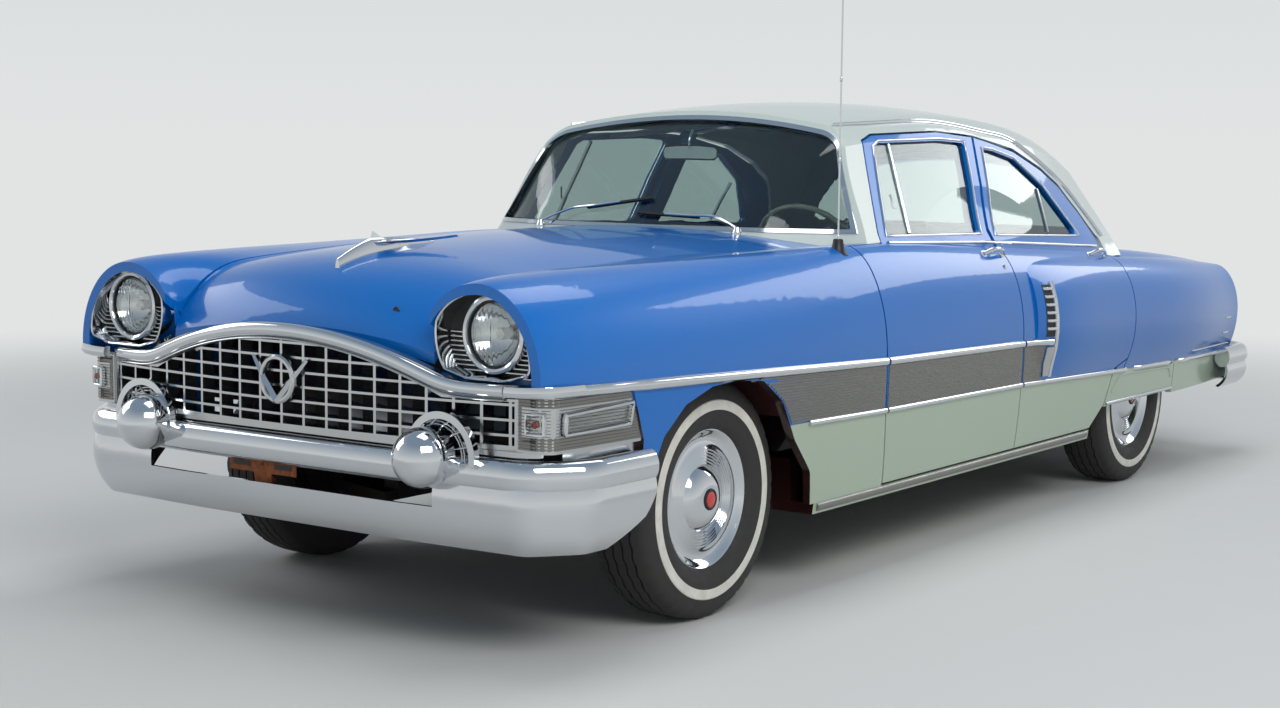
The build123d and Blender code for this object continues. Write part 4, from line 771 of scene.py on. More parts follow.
# a look that slips through an opening is drawn back to its neighbours
looks = [(way, min(far, 1.12 * min(looks[k - 3][1], looks[(k + 3) % lamp["steps"]][1])))
         for k, (way, far) in enumerate(looks)]
tunnel = ((2.569, -1), (2.627, -1), (2.630, 2), (2.627, 6), (2.600, 9), (2.569, 12))
rings = [[lampCentre + way * (far - inward / 1000) + Vector((x, 0, 0)) for x, inward in tunnel]
         for way, far in looks]
makePiece("lampReveal", skin(rings, loop=True), chrome, "body", both=True)
# a black ring across the back of the recess round the lamp: painted shade, standing for the dark of a deep
# recess
rings = []
for way, far in looks:
    wide = max(far - 0.010, 0.105)
    rings.append([lampCentre + way * r + Vector((x, 0, 0)) for r, x in
                  ((wide, 2.567), (0.101, 2.567), (0.101, 2.572), (wide, 2.572))])
makePiece("lampRecessShade", skin(rings, loop=True), chassisBlack, "body", both=True)
ribs = []
for k in range(lamp["ribs"]):
    z = lamp["floor"] + 0.006 + k * lamp["ribPitch"]
    drop = abs(z - lamp["z"])
    for way in (-1, 1):
        spot, normal, index, far = fenderTree.ray_cast(Vector((2.60, lamp["y"], z)), Vector((0, way, 0)))
        end = lamp["y"] + way * (min(far if spot is not None else 0.2, lamp["ribReach"]) - 0.008)
        start = lamp["y"] + way * (math.sqrt(max(0.0, 0.106 ** 2 - drop ** 2)) if drop < 0.106 else 0.0)
        if abs(end - lamp["y"]) > abs(start - lamp["y"]) + 0.006:
            ribs.append(strip([(2.571, start, z), (2.571, end, z)], [(1, 0, 0)] * 2, crown(9.5, 12, 5)))
makePiece("lampRibs", merge(ribs), dieCast, "body", both=True)
bezel = [(104, 2572), (107, 2584), (105, 2596), (99, 2601), (92, 2598), (88, 2590), (88, 2575)]
makePiece("lampBezel", turn(bezel, lampCentre, "X", 96), chrome, "body", both=True)
gasket = [(89, 2583), (89, 2592), (86, 2593), (84, 2588), (84, 2580)]
makePiece("lampGasket", turn(gasket, lampCentre, "X", 96), blackRubber, "body", both=True)
points, faces = [], []
rows, sides = lamp["lensRows"], lamp["lensSides"]
for face, start in ((0, 2605.0), (1, 2601.0)):  # front and back of the lens; the back is fluted
    for i in range(rows + 1):
        r = lamp["lens"] * (i + 0.02) / (rows + 0.02)
        for k in range(sides):
            angle = math.tau * k / sides
            y, z = r * math.cos(angle), r * math.sin(angle)
            flute = 0.0
            if face:
                flute = lamp["flute"] * abs(math.sin(math.pi * y / (11 if abs(z) < 30 else 17)))
            x = start - (r / lamp["lens"]) ** 2 * lamp["bulge"] - flute
            points.append((x / 1000, lamp["y"] + y / 1000, lamp["z"] + z / 1000))
sheet = (rows + 1) * sides
for i in range(rows):
    for k in range(sides):
        a, b = i * sides + k, i * sides + (k + 1) % sides
        faces += [(a, b, b + sides, a + sides), (a + sheet, a + sides + sheet, b + sides + sheet, b + sheet)]
last = rows * sides
for k in range(sides):
    a, b = last + k, last + (k + 1) % sides
    faces.append((a, b, b + sheet, a + sheet))
faces += [tuple(range(sides)), tuple(range(sheet, sheet + sides))]
lens = makePiece("lampLens", (points, faces), lampGlass, "body", both=True)
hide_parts("headlamps")
bowl = [(0, 2520), (30, 2526), (60, 2545), (84, 2580), (86, 2584), (86, 2578), (62, 2540), (30, 2520),
        (0, 2514)]
makePiece("lampReflector", turn(bowl, lampCentre, "X", 72), chrome, "body", both=True)
cap = [(0, 2566), (14, 2564), (17, 2556), (15, 2530), (0, 2530)]
makePiece("lampBulbShield", turn(cap, lampCentre, "X", 32), dieCast, "body", both=True)

# Strip that runs on from the grille's arch, round the corner and into the side moulding
corner = through([(2.634, 0.792, 0.760), (2.637, 0.84, 0.762), (2.632, 0.885, 0.765), (2.612, 0.918, 0.767),
                  (2.575, 0.932, 0.766), (2.49, 0.938, 0.764)], 6)
bend = [k * math.pi / 2 / (len(corner) - 9) for k in range(len(corner) - 8)]
outs = [(1, 0, 0)] * 8 + [(math.cos(a), math.sin(a), 0) for a in bend]
cornerSection = [(17, -16), (19, -2), (16, 6), (4, 10), (-8, 9), (-15, 3), (-17, -16)]
makePiece("cornerStrip", strip(corner, outs, cornerSection), chrome, "body", both=True, sharp=50)

# Ribs of the panel that wraps the corner between lamp strip and bumper
wrap = dict(ribs=16, lowZ=0.612, pitch=0.0086, width=4.3, proud=3.4)
wrapSection = [(-wrap["width"], 0.6), (-2, 0.8), (-1.2, wrap["proud"]), (1.2, wrap["proud"]), (2, 0.8),
               (wrap["width"], 0.6), (wrap["width"], -1), (-wrap["width"], -1)]
apronTree = treeOf("front_apron")
ribs = []
for k in range(wrap["ribs"]):
    z = wrap["lowZ"] + k * wrap["pitch"]
    hits = [fromFront(apronTree, y, z) for y in (0.806, 0.84, 0.865)]
    for step in range(1, 8):
        angle = math.radians(12 * step)
        hits.append(touch(apronTree, (2.52 + 0.5 * math.cos(angle), 0.83 + 0.5 * math.sin(angle), z),
                          (-math.cos(angle), -math.sin(angle), 0)))
    rearX = 2.212 + (z - 0.60) * 0.36  # the panel's rear edge leans with the wheel arch
    hits += [fromSide(apronTree, x, z) for x in (2.50, 2.44, 2.38, 2.32, 2.27, rearX)]
    ribs.append(stripOn(hits, wrapSection))
makePiece("cornerRibs", merge(ribs), stainless, "body", both=True)

# Parking lamps: clear lens in front, a fluted trapezoid lens at the side, each in a bright frame
park = dict(
    side=[(2.545, 0.650), (2.545, 0.702), (2.270, 0.713), (2.282, 0.655)],  # corners as (x, z)
    front=[(0.842, 0.652), (0.842, 0.706), (0.892, 0.706), (0.892, 0.652)],  # corners as (y, z)
    flutes=60, flute=0.0025, housingZ=(0.643, 0.68, 0.722))
parkTree = treeOf("parking_lamps")
hits = [fromSide(parkTree, x, z) for x, z in around(park["side"], 6)]
makePiece("parkSideFrame", stripOn(hits, [(5, -8), (5, 3), (3, 6), (-3, 6), (-5, 3), (-5, -8)], loop=True),
          chrome, "body", both=True)
rings = []
for k in range(park["flutes"]):
    x = 2.538 - (2.538 - 2.284) * k / (park["flutes"] - 1)
    share = (2.545 - x) / 0.275
    bottom, top = 0.655 + 0.004 * share, 0.698 + 0.010 * share
    ripple = park["flute"] if k % 2 else 0.0
    ring = []
    for t in (0.0, 0.25, 0.5, 0.75, 1.0):
        spot, out = fromSide(parkTree, x, bottom + (top - bottom) * t)
        ring.append(spot + out * (0.001 + ripple + 0.003 * math.sin(math.pi * t)))
    ring += [p - Vector((0, 0.008, 0)) for p in reversed(ring)]
    rings.append(ring)
sideLens = makePiece("parkSideLens", skin(rings), lampGlass, "body", both=True, sharp=20)
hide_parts("parking_lamps")
edge = [fromFront(parkTree, y, z)[0] for y, z in around(park["front"], 4)]
frameSection = [(4, -8), (4, 3), (2, 5), (-2, 5), (-4, 3), (-4, -8)]
makePiece("parkFrontFrame", strip(edge, [(1, 0, 0)] * len(edge), frameSection, loop=True), chrome, "body",
          both=True)
rings = []
for k in range(13):
    y = 0.845 + 0.044 * k / 12
    ring = [fromFront(parkTree, y, 0.655 + 0.048 * t / 6)[0]
            + Vector((0.002 + 0.004 * math.sin(math.pi * t / 6), 0, 0)) for t in range(7)]
    ring += [p - Vector((0.006, 0, 0)) for p in reversed(ring)]
    rings.append(ring)
makePiece("parkFrontLens", skin(rings), lampGlass, "body", both=True)
rings = []  # the silvered housing behind both lenses, from the front round to the side
for k in range(30):
    if k < 6:
        inner = Vector((0.002, 0, 0))
        spots = [fromFront(parkTree, 0.818 + 0.012 * k, z)[0] - inner * 6 for z in park["housingZ"]]
    else:
        inner = Vector((0, 0.002, 0))
        x = 2.575 - (2.575 - 2.262) * (k - 6) / 23
        spots = [fromSide(parkTree, x, z)[0] - inner * 6 for z in park["housingZ"]]
    rings.append(spots + [p - inner for p in reversed(spots)])
makePiece("parkHousing", skin(rings), dieCast, "body", both=True)
bulb, out = fromFront(parkTree, 0.867, 0.679)
bulbOutline = [(0, -2), (8, -4), (10, -9), (6, -16), (0, -16)]
makePiece("parkBulb", turn(bulbOutline, bulb + Vector((0.004, 0, 0)), "X", 24), rubyGlass, "body", both=True)

# Grille: a broad domed arch over the bars, running down to the lamp strips
arch = dict(half=0.578, wing=0.760, topZ=0.883, wingZ=0.760, proud=15, steps=48, eased=4)
rise = arch["topZ"] - arch["wingZ"]
radius = (arch["half"] ** 2 + rise ** 2) / (2 * rise)
line = []
for k in range(arch["steps"] + 1):
    y = -arch["wing"] + 2 * arch["wing"] * k / arch["steps"]
    z = arch["wingZ"]
    if abs(y) < arch["half"]:
        z = arch["topZ"] - radius + math.sqrt(radius ** 2 - y * y)
    line.append(Vector((2.674 - 0.094 * (y / 0.86) ** 2, y, z)))
for step in range(arch["eased"]):  # the arch eases into the wings
    line = [line[0]] + [(a + b * 2 + c) / 4 for a, b, c in zip(line, line[1:], line[2:])] + [line[-1]]
ahead = [(1, 0, 0)] * len(line)
archSection = [(-21, -4), (-21, 3), (-17, 9), (-9, arch["proud"] - 1), (0, arch["proud"]),
               (9, arch["proud"] - 2), (16, 8), (19, 2), (19, -4)]
makePiece("grilleArch", strip(line, ahead, archSection), chrome, "body", sharp=50)
line = [p + Vector((0.004, 0, -0.0255)) for p in line]
makePiece("grilleArchBead", strip(line, ahead, crown(7, 7)), dieCast, "body")

# Grille: a plain ring and a V over the egg-crate, both bare of any mark
badge = dict(x=2.676, z=0.742, ring=70, inner=54, wing=0.106)
ringOutline = [(badge["ring"], 0), (badge["ring"], 10), (badge["ring"] - 5, 15), (badge["inner"] + 3, 15),
               (badge["inner"], 10), (badge["inner"], 0)]
makePiece("grilleRing", turn(ringOutline, (badge["x"], 0, badge["z"]), "X", 96), dieCast, "body")
wings = []
for side in (-1, 1):
    foot = Vector((badge["x"] + 0.014, 0, badge["z"] - 0.062))
    tip = Vector((badge["x"] - 0.002, side * badge["wing"], badge["z"] + 0.060))
    wings.append(strip([foot, foot.lerp(tip, 0.5) + Vector((0.004, 0, 0)), tip], [(1, 0, 0)] * 3,
                       [(11, -2), (0, 10), (-11, -2)], scales=[1.0, 0.85, 0.5]))
makePiece("grilleVee", merge(wings), chrome, "body")

# Bumper: curved fins inside each hoop, and the rusty bracket that a plate was bolted to
bumper = dict(bulletY=0.550, bulletZ=0.572, hoopY=0.590, hoopZ=0.576, fins=7, finsFrom=-8, finsApart=27,
              rings=(0.088, 0.097), ringY=0.574, ringZ=0.574)
fins = []
for k in range(bumper["fins"]):
    angle = math.radians(bumper["finsFrom"] + bumper["finsApart"] * k)
    way = Vector((0, math.cos(angle), math.sin(angle)))
    start = Vector((2.648, bumper["bulletY"], bumper["bulletZ"])) + way * 0.070
    end = Vector((2.652, bumper["hoopY"], bumper["hoopZ"])) + way * 0.104
    middle = start.lerp(end, 0.5) + Vector((0.010, 0, 0))
    fins.append(bar([start, middle, end], 2.6, 4, 8, up=(1, 0, 0.01)))
for radius in bumper["rings"]:
    turns = [math.radians(-4 + 12 * k) for k in range(16)]
    arc = [Vector((2.656, bumper["ringY"] + radius * math.cos(a), bumper["ringZ"] + radius * math.sin(a)))
           for a in turns]
    fins.append(strip(arc, [(1, 0, 0)] * 16, circle(2.2, 8)))
makePiece("hoopFins", merge(fins), dieCast, "body", both=True)
bracket = [(0.030, 0.458), (0.030, 0.502), (-0.238, 0.502), (-0.238, 0.458), (-0.140, 0.458), (-0.132, 0.405),
           (-0.076, 0.405), (-0.068, 0.458)]
makePiece("plateBracket", slab([(2.640, y, z) for y, z in bracket], (0.004, 0, 0)), rust, "body", bevel=1.2)
# the bracket's slots are drawn as black slabs: their black is painted shade, the dark seen through an opening
slots = []
for y in (-0.188, -0.020):
    slot = [(y - 0.034, 0.474), (y + 0.034, 0.474), (y + 0.034, 0.487), (y - 0.034, 0.487)]
    slots.append(slab([(2.6445, a, z) for a, z in slot], (0.0012, 0, 0)))
makePiece("plateSlots", merge(slots), blackRubber, "body")
makePiece("plateStem", bar([(2.60, -0.104, 0.43), (2.64, -0.104, 0.47), (2.642, -0.104, 0.50)], 7), rust,
          "body")
print("front end made")

# Windows: bright beads round the door glass, vent and divider bars, belt strips and drip rail
window = dict(beadWidth=9, beadPitch=0.05, skinFrom=0.4, skinTo=0.89)  # a look beyond skin missed the door
doorTree = treeOf("door_front_left door_rear_left")
glassTree = treeOf("glass_front_left glass_rear_left")
roofTree = treeOf("roof")
openings = {  # the window's edge as (x, z)
    "Front": ("door_front_left", [(0.596, 1.108), (0.470, 1.414), (0.430, 1.432), (0.0, 1.444),
                                  (-0.196, 1.436), (-0.106, 1.096)]),
    "Rear": ("door_rear_left", [(-0.216, 1.088), (-0.334, 1.414), (-0.420, 1.408), (-0.604, 1.375),
                                (-0.806, 1.268), (-0.908, 1.164), (-0.996, 1.062)])}


def met(hits):  # only the looks that met the door or its glass
    return [(p, out) for p, out in hits if window["skinFrom"] < p.y < window["skinTo"]]


for name, (body, outline) in openings.items():
    hits = []
    for (x0, z0), (x1, z1) in zip(outline, outline[1:] + outline[:1]):
        steps = max(2, int(math.hypot(x1 - x0, z1 - z0) / window["beadPitch"]))
        hits += [fromSide(doorTree, x0 + (x1 - x0) * t / steps, z0 + (z1 - z0) * t / steps)
                 for t in range(steps)]
    makePiece("windowBead" + name, stripOn(met(hits), crown(window["beadWidth"], 5), loop=True), chrome, body,
              both=True)
for name, body, low, high in [("ventBar", "door_front_left", (0.415, 1.112), (0.352, 1.424)),
                              ("dividerBar", "door_rear_left", (-0.713, 1.082), (-0.768, 1.284))]:
    hits = [fromSide(glassTree, low[0] + (high[0] - low[0]) * t / 6, low[1] + (high[1] - low[1]) * t / 6)
            for t in range(7)]
    makePiece(name, stripOn(met(hits), [(7, -8), (7, 4), (4, 7), (-4, 7), (-7, 4), (-7, -8)]), chrome, body,
              both=True)
pivot, out = fromSide(glassTree, 0.445, 1.20)
latch = [pivot + Vector(step) for step in
         ((-0.018, -0.006, 0), (-0.004, -0.016, 0.004), (0.004, -0.018, 0.045))]
makePiece("ventLatch", bar(latch, 4.5), chrome, "door_front_left", both=True)

for name, body, rows, x0, x1 in [
        ("Front", "door_front_left", [(-0.20, 1.062), (0.62, 1.086)], 0.600, -0.172),
        ("Rear", "door_rear_left", [(-1.16, 1.014), (-0.2, 1.062)], -0.205, -1.120)]:
    makePiece("beltStrip" + name, stripOn(alongSide(doorTree, rows, x0, x1), crown(13, 7)), chrome, body,
              both=True)
drip = [(0.585, 1.480), (0.44, 1.487), (0.0, 1.503), (-0.38, 1.472), (-0.65, 1.437), (-0.985, 1.300),
        (-1.14, 1.175), (-1.225, 1.050)]
hits = [fromSide(roofTree, p.x, p.z) for p in through([(x, 0, z) for x, z in drip], 6)]
hits = [(p, out) for p, out in hits if p.y > window["skinFrom"]]
makePiece("dripRail", stripOn(hits, [(5, -2), (6, 9), (4, 11), (1, 10), (-2, 4), (-5, 3), (-6, -2)]), chrome,
          "body", both=True)

# Pull handles with a push button, on the doors' shoulders, and the key lock below the front one
handle = dict(length=0.165, rise=0.030, thick=8.5, front=(-0.010, 1.026), rear=(-0.985, 0.985),
              lock=(-0.13, 0.975))
for name, body, (x, z) in [("Front", "door_front_left", handle["front"]),
                           ("Rear", "door_rear_left", handle["rear"])]:
    ends = [fromSide(doorTree, x - d, z - d * 0.05) for d in (0.0, 0.05, 0.11, handle["length"])]
    lift = [0.004, handle["rise"], handle["rise"] - 0.002, 0.006]
    path = [p + out * up for (p, out), up in zip(ends, lift)]
    pull = bar(path, handle["thick"], 6, 12, up=(0, 0.3, 1))
    feet = [turn([(0, -2), (14, -2), (13, 3), (9, 6), (0, 6)], ends[i][0] + ends[i][1] * 0.001, "Y", 24)
            for i in (0, 3)]
    button = turn([(0, 0), (9, 0), (9, 9), (7, 11), (0, 11)], ends[3][0] + Vector((0.026, 0.001, 0)), "Y", 24)
    makePiece("pullHandle" + name, merge([pull, button] + feet), chrome, body, both=True)
lock, out = fromSide(doorTree, *handle["lock"])
makePiece("keyLock", turn([(0, -2), (9, -2), (9, 3), (6, 4), (0, 4)], lock, "Y", 24), chrome,
          "door_front_left", both=True)

# Wipers: a post on the cowl, an arm and a rubber blade that lies on the glass
wiper = dict(left=(0.40, -0.02, 1.165), right=(-0.46, -0.02, 1.215), footZ=1.150, postZ=1.122,
             postAhead=0.052)
screenTree = treeOf("windscreen")


def onScreen(y, z, lift):
    spot, out = fromFront(screenTree, y, z)
    return spot + out * lift, out


for side, (pivotY, tipY, tipZ) in enumerate([wiper["left"], wiper["right"]]):
    foot = onScreen(pivotY, 1.145, 0.0)[0]
    pivot = Vector((foot.x + wiper["postAhead"], pivotY, wiper["postZ"]))
    post = [(0, -22), (15, -22), (16, -4), (12, 4), (10, 14), (0, 16)]
    makePiece("wiperPost" + str(side), turn(post, pivot, "Z", 24), chrome, "body")

    def onSweep(share, lift):  # a place on the wiper's line, as a share of the way from its foot to its tip
        y = pivotY + (tipY - pivotY) * share
        return onScreen(y, wiper["footZ"] + (tipZ - wiper["footZ"]) * share, lift)

    stations = [onSweep(t, 0.020 - 0.006 * t)[0] for t in (0.25, 0.5, 0.75)]
    arm = [pivot + Vector((0, 0, 0.010))] + stations
    makePiece("wiperArm" + str(side), bar(arm, 4.6, 5, 8), chrome, "body")
    blade = [onSweep(0.42 + 0.62 * t / 8, 0.0015) for t in range(9)]
    section = [(-1.2, 0), (-3, 6), (-4.5, 8), (-4.5, 13), (4.5, 13), (4.5, 8), (3, 6), (1.2, 0)]
    makePiece("wiperBlade" + str(side), stripOn(blade, section), blackRubber, "body")

# Hood: a plain bright winged ornament, and the small hole left by a lost fixing
ornament = dict(noseX=2.44, tailX=2.02, height=0.040, peak=0.32, span=0.165, wingX=2.30, sweep=0.19,
                chord=0.085, tip=0.012)
hoodTree = treeOf("hood")


def onHood(x, y, lift=0.0):
    spot, out = touch(hoodTree, (x, y, 2.0), (0, 0, -1))
    return spot + Vector((0, 0, lift))


rows = []
for t in range(13):  # a slim spear on the centre line
    share = t / 12
    x = ornament["noseX"] + (ornament["tailX"] - ornament["noseX"]) * share
    wide = 0.012 * math.sin(math.pi * min(1.0, share * 1.25 + 0.08)) ** 0.6 + 0.003
    tall = 0.008
    if share < 0.98:
        tall = 0.010 + ornament["height"] * (1 - abs(share - ornament["peak"]) / 0.70)
    base = onHood(x, 0, -0.004)
    rows.append([base + Vector((0, wide * math.cos(a), max(0.002, tall) * math.sin(a)))
                 for a in [math.pi * k / 10 for k in range(11)]])
shapes = [skin(rows)]
for side in (-1, 1):
    rows = []
    for t in range(9):
        share = t / 8
        x = ornament["wingX"] - ornament["sweep"] * share
        y = side * (0.006 + ornament["span"] * share)
        z = onHood(ornament["wingX"], 0).z + 0.028 + 0.022 * share ** 1.5
        chord = ornament["chord"] * (1 - share) + ornament["tip"]
        rows.append([Vector((x, y, z + 0.004)), Vector((x - chord * 0.4, y, z + 0.007 * (1 - share) + 0.002)),
                     Vector((x - chord, y, z)), Vector((x - chord * 0.4, y, z - 0.003))])
    shapes.append(skin(rows))
makePiece("hoodOrnament", merge(shapes), chrome, "hood", sharp=50)
# the hole is drawn as a black disc: its black is painted shade, the dark inside an empty hole
hole, out = touch(hoodTree, (3.2, 0.330, 0.945), (-1, 0, 0))
holeEdge = [(0, 0.6), (8, 0.6), (9, 1.4), (11, 1.2), (12, -1), (0, -1)]
makePiece("fixingHole", turn(holeEdge, hole, "X", 32), blackRubber, "hood")
print("windows, handles, wipers and hood made")

# Seats: stuffed benches, blown up by a short cloth run, then sewn with channels and piped
seat = dict(
    voxel=0.017, pressure=4.0, frames=14, cap=0.014,  # no point moves further than cap
    channel=0.008, channelWidth=0.009, pitch=0.095, margin=0.10, frontHalf=0.622, rearHalf=0.572, piping=5,
    railY=0.5, railWidth=0.04, railZ=0.424)


def loft(outline, half, ease=0.03):  # a side outline in mm carried across, drawn in at both ends
    middle = Vector((sum(x for x, z in outline), 0, sum(z for x, z in outline))) / len(outline) / 1000
    rings = []
    for y, shrink in [(-half, 0.80), (-half + ease * 0.4, 0.94), (-half + ease, 1.0), (half - ease, 1.0),
                      (half - ease * 0.4, 0.94), (half, 0.80)]:
        rings.append([Vector((middle.x + (x / 1000 - middle.x) * shrink, y,
                              middle.z + (z / 1000 - middle.z) * shrink)) for x, z in outline])
    return skin(rings)


def settled(piece):  # the mesh as its modifiers leave it
    mesh = bpy.data.meshes.new_from_object(piece.evaluated_get(bpy.context.evaluated_depsgraph_get()))
    piece.modifiers.clear()
    return mesh


def stuff(piece, channels, facing):
    # voxels, then cloth under pressure; channels are the y of the sewn lines on faces turned to facing
    cover = piece.data.materials[0]
    remesh = piece.modifiers.new("voxels", "REMESH")
    remesh.mode = "VOXEL"
    remesh.voxel_size = seat["voxel"]
    piece.data = settled(piece)
    before = [v.co.copy() for v in piece.data.vertices]
    cloth = piece.modifiers.new("cloth", "CLOTH")
    cloth.settings.use_pressure = True
    cloth.settings.uniform_pressure_force = seat["pressure"]
    cloth.settings.effector_weights.gravity = 0.0
    for moment in range(1, seat["frames"] + 1):
        bpy.context.scene.frame_set(moment)
    blown = settled(piece)
    bpy.context.scene.frame_set(1)
    for vertex, start in zip(blown.vertices, before):
        move = vertex.co - start
        if move.length > seat["cap"]:
            vertex.co = start + move * (seat["cap"] / move.length)
    piece.data = blown
    finer = piece.modifiers.new("finer", "SUBSURF")
    finer.levels = finer.render_levels = 1
    fine = settled(piece)
    piece.data = fine
    normals = [v.normal.copy() for v in fine.vertices]
    for vertex, normal in zip(fine.vertices, normals):
        lean = max(0.0, normal.dot(Vector(facing)))
        depth = sum(math.exp(-((vertex.co.y - y) / seat["channelWidth"]) ** 2) for y in channels)
        vertex.co -= normal * (seat["channel"] * depth * min(1.0, lean * 1.6))
    fine.materials.clear()
    fine.materials.append(cover)
    fine.polygons.foreach_set("use_smooth", [True] * len(fine.polygons))


cushions = {  # side outline in mm, half width, the way its sewn face looks, fill, the node it stands for
    "frontSeatCushion": ([(-150, 572), (-40, 562), (340, 568), (352, 620), (338, 676), (150, 672), (-60, 650),
                          (-140, 648)], seat["frontHalf"], (0, 0, 1), 0.75, "front_seat"),
    "frontSeatBack": ([(-120, 640), (-152, 760), (-195, 900), (-245, 1030), (-275, 1046), (-310, 1045),
                       (-328, 1015), (-290, 860), (-245, 700), (-215, 620), (-160, 606)], seat["frontHalf"],
                      (1, 0, 0.3), 0.7, None),
    "rearSeatCushion": ([(-940, 585), (-700, 575), (-500, 580), (-486, 630), (-508, 680), (-700, 672),
                         (-900, 648)], seat["rearHalf"], (0, 0, 1), 0.75, "rear_seat"),
    "rearSeatBack": ([(-905, 665), (-950, 760), (-1000, 870), (-1048, 962), (-1080, 980), (-1128, 980),
                      (-1150, 950), (-1115, 840), (-1080, 700), (-1000, 650)], seat["rearHalf"], (1, 0, 0.4),
                     0.7, None),
}
for name, (outline, half, facing, fill, stands) in cushions.items():
    piece, = makePiece(name, loft(outline, half), seatCloth, "body")
    count = int((half - seat["margin"]) / seat["pitch"])
    stuff(piece, [seat["pitch"] * k for k in range(-count, count + 1)], facing)
    if stands:
        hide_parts(stands)
for name, outline, half, bevel in [
        ("frontSeatBase", [(-165, 425), (315, 425), (350, 470), (352, 566), (-150, 572), (-222, 600),
                           (-214, 566)], 0.615, 6.0),
        ("rearSeatBase", [(-925, 425), (-512, 425), (-486, 560), (-500, 574), (-925, 580)], 0.572, 6.0),
        ("frontSeatShell", [(-226, 596), (-250, 690), (-300, 860), (-340, 1012), (-334, 1040), (-318, 1056),
                            (-309, 1050), (-328, 1018), (-290, 860), (-240, 700), (-216, 604)], 0.632, 1.5)]:
    makePiece(name, loft(outline, half, 0.012), leatherCloth, "body", bevel=bevel)
welts = []
for x, z, half in [(0.348, 0.668, 0.60), (-0.262, 1.050, 0.60), (-0.498, 0.678, 0.55), (-1.062, 0.984, 0.55)]:
    welts.append(bar([(x, -half, z - 0.006), (x, -half * 0.6, z), (x, 0, z + 0.001), (x, half * 0.6, z),
                      (x, half, z - 0.006)], seat["piping"], 8, 8, up=(1, 0, 0)))
makePiece("seatPiping", merge(welts), leatherCloth, "body")
rails = []
for y in (-seat["railY"], seat["railY"]):
    inner, outer = y - seat["railWidth"] / 2, y + seat["railWidth"] / 2
    rails.append(slab([(x, across, seat["railZ"]) for x, across in
                       ((-0.15, inner), (0.30, inner), (0.30, outer), (-0.15, outer))], (0, 0, 0.012)))
makePiece("seatRails", merge(rails), castIron, "body", bevel=2.0)
print("seats made")

# Steering wheel: cream rim with finger grips, two double spokes, hub with a plain cap, bright horn ring
steering = dict(centre=Vector((0.400, 0.385, 1.010)), tilt=30.0, rim=0.215, grip=10.5, grips=24, horn=0.128,
                hornBar=4.2, hub=0.040, spoke=6.5, stalk=0.075)
tilt = math.radians(steering["tilt"])
axle = Vector((-math.cos(tilt), 0, math.sin(tilt)))
upWheel = Vector((math.sin(tilt), 0, math.cos(tilt)))
acrossWheel = Vector((0, 1, 0))


def onWheel(radius, angle, along=0.0):
    return (steering["centre"] + acrossWheel * (radius * math.cos(angle))
            + upWheel * (radius * math.sin(angle)) + axle * along)


def turnOnWheel(profile, steps=64):  # (radius, along the axle) in mm
    rings = [[onWheel(r / 1000, math.tau * k / steps, a / 1000) for r, a in profile] for k in range(steps)]
    return skin(rings, loop=True)


count = 5 * steering["grips"]
rimLine = [onWheel(steering["rim"], math.tau * k / count) for k in range(count)]
ridge = [1.0 + 0.10 * (k % 5 == 0) - 0.05 * (k % 5 in (2, 3)) for k in range(count)]
shapes = [strip(rimLine, [axle] * count, circle(steering["grip"], 12), loop=True, scales=ridge)]
for side in (0, math.pi):
    for lift in (-0.012, 0.012):
        inner = onWheel(steering["hub"] - 0.006, side) + upWheel * lift * 0.6 - axle * 0.012
        outer = onWheel(steering["rim"] - 0.002, side) + upWheel * lift
        shapes.append(bar([inner, inner.lerp(outer, 0.5) - axle * 0.004, outer], steering["spoke"], 5, 10,
                          up=axle, scales=[1.25] * 4 + [1.0] * 4 + [1.2] * 3))
wheelRim, = makePiece("steeringRim", merge(shapes), cream, "steering_wheel")
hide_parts("steering_wheel")
makePiece("steeringHub", turnOnWheel([(0, -20), (44, -20), (46, -8), (40, 6), (32, 13), (0, 13)]), cream,
          "steering_wheel")
makePiece("hornCap", turnOnWheel([(0, 13), (28, 13), (30, 16), (24, 22), (12, 26), (0, 27)]), chrome,
          "steering_wheel")
hornLine = [onWheel(steering["horn"], math.radians(200 + 140 * k / 30), 0.010) for k in range(31)]
horn = [strip(hornLine, [axle] * 31, circle(steering["hornBar"], 10))]
for degrees in (200, 340):
    angle = math.radians(degrees)
    horn.append(bar([onWheel(0.034, angle, 0.010), onWheel(0.08, angle, 0.013),
                     onWheel(steering["horn"], angle, 0.010)], steering["hornBar"], 4, 8, up=axle))
makePiece("hornRing", merge(horn), chrome, "steering_wheel")
stalk = steering["centre"] - axle * steering["stalk"]


def onStalk(across, up):  # metres to the left and up the wheel's face from the shift lever's boss
    return stalk + acrossWheel * across + upWheel * up


makePiece("gearLever", bar([onStalk(-0.03, 0.0), onStalk(-0.12, 0.03), onStalk(-0.165, 0.045)], 4.5), chrome,
          "body")
makePiece("gearKnob", bar([onStalk(-0.158, 0.042), onStalk(-0.172, 0.047), onStalk(-0.186, 0.051)], 9, 4, 12,
                          scales=[0.5] + [1.0] * 7 + [0.5]), cream, "body")

# Dashboard: dials in bright rings, radio grille, glove box lid and a row of knobs
dash = dict(
    dials=[(0.385, 0.955, 62), (0.535, 0.945, 34), (0.235, 0.945, 34), (-0.42, 0.955, 30)],  # (y, z, radius)
    knobs=[(0.17, 0.905), (-0.17, 0.905), (0.60, 0.902), (0.30, 0.896), (-0.25, 0.905)],
    lid=[(-0.33, 0.905), (-0.33, 0.992), (-0.64, 0.992), (-0.64, 0.905)], lock=(-0.485, 0.918),
    bars=9, barZ=0.918, barPitch=0.0095, stripZ=0.890)
dashTree = treeOf("dashboard")
back = (-1, 0, 0)


def onDash(y, z, lift=0.0):
    spot, out = touch(dashTree, (0.2, y, z), (1, 0, 0))
    return spot - Vector((lift, 0, 0))


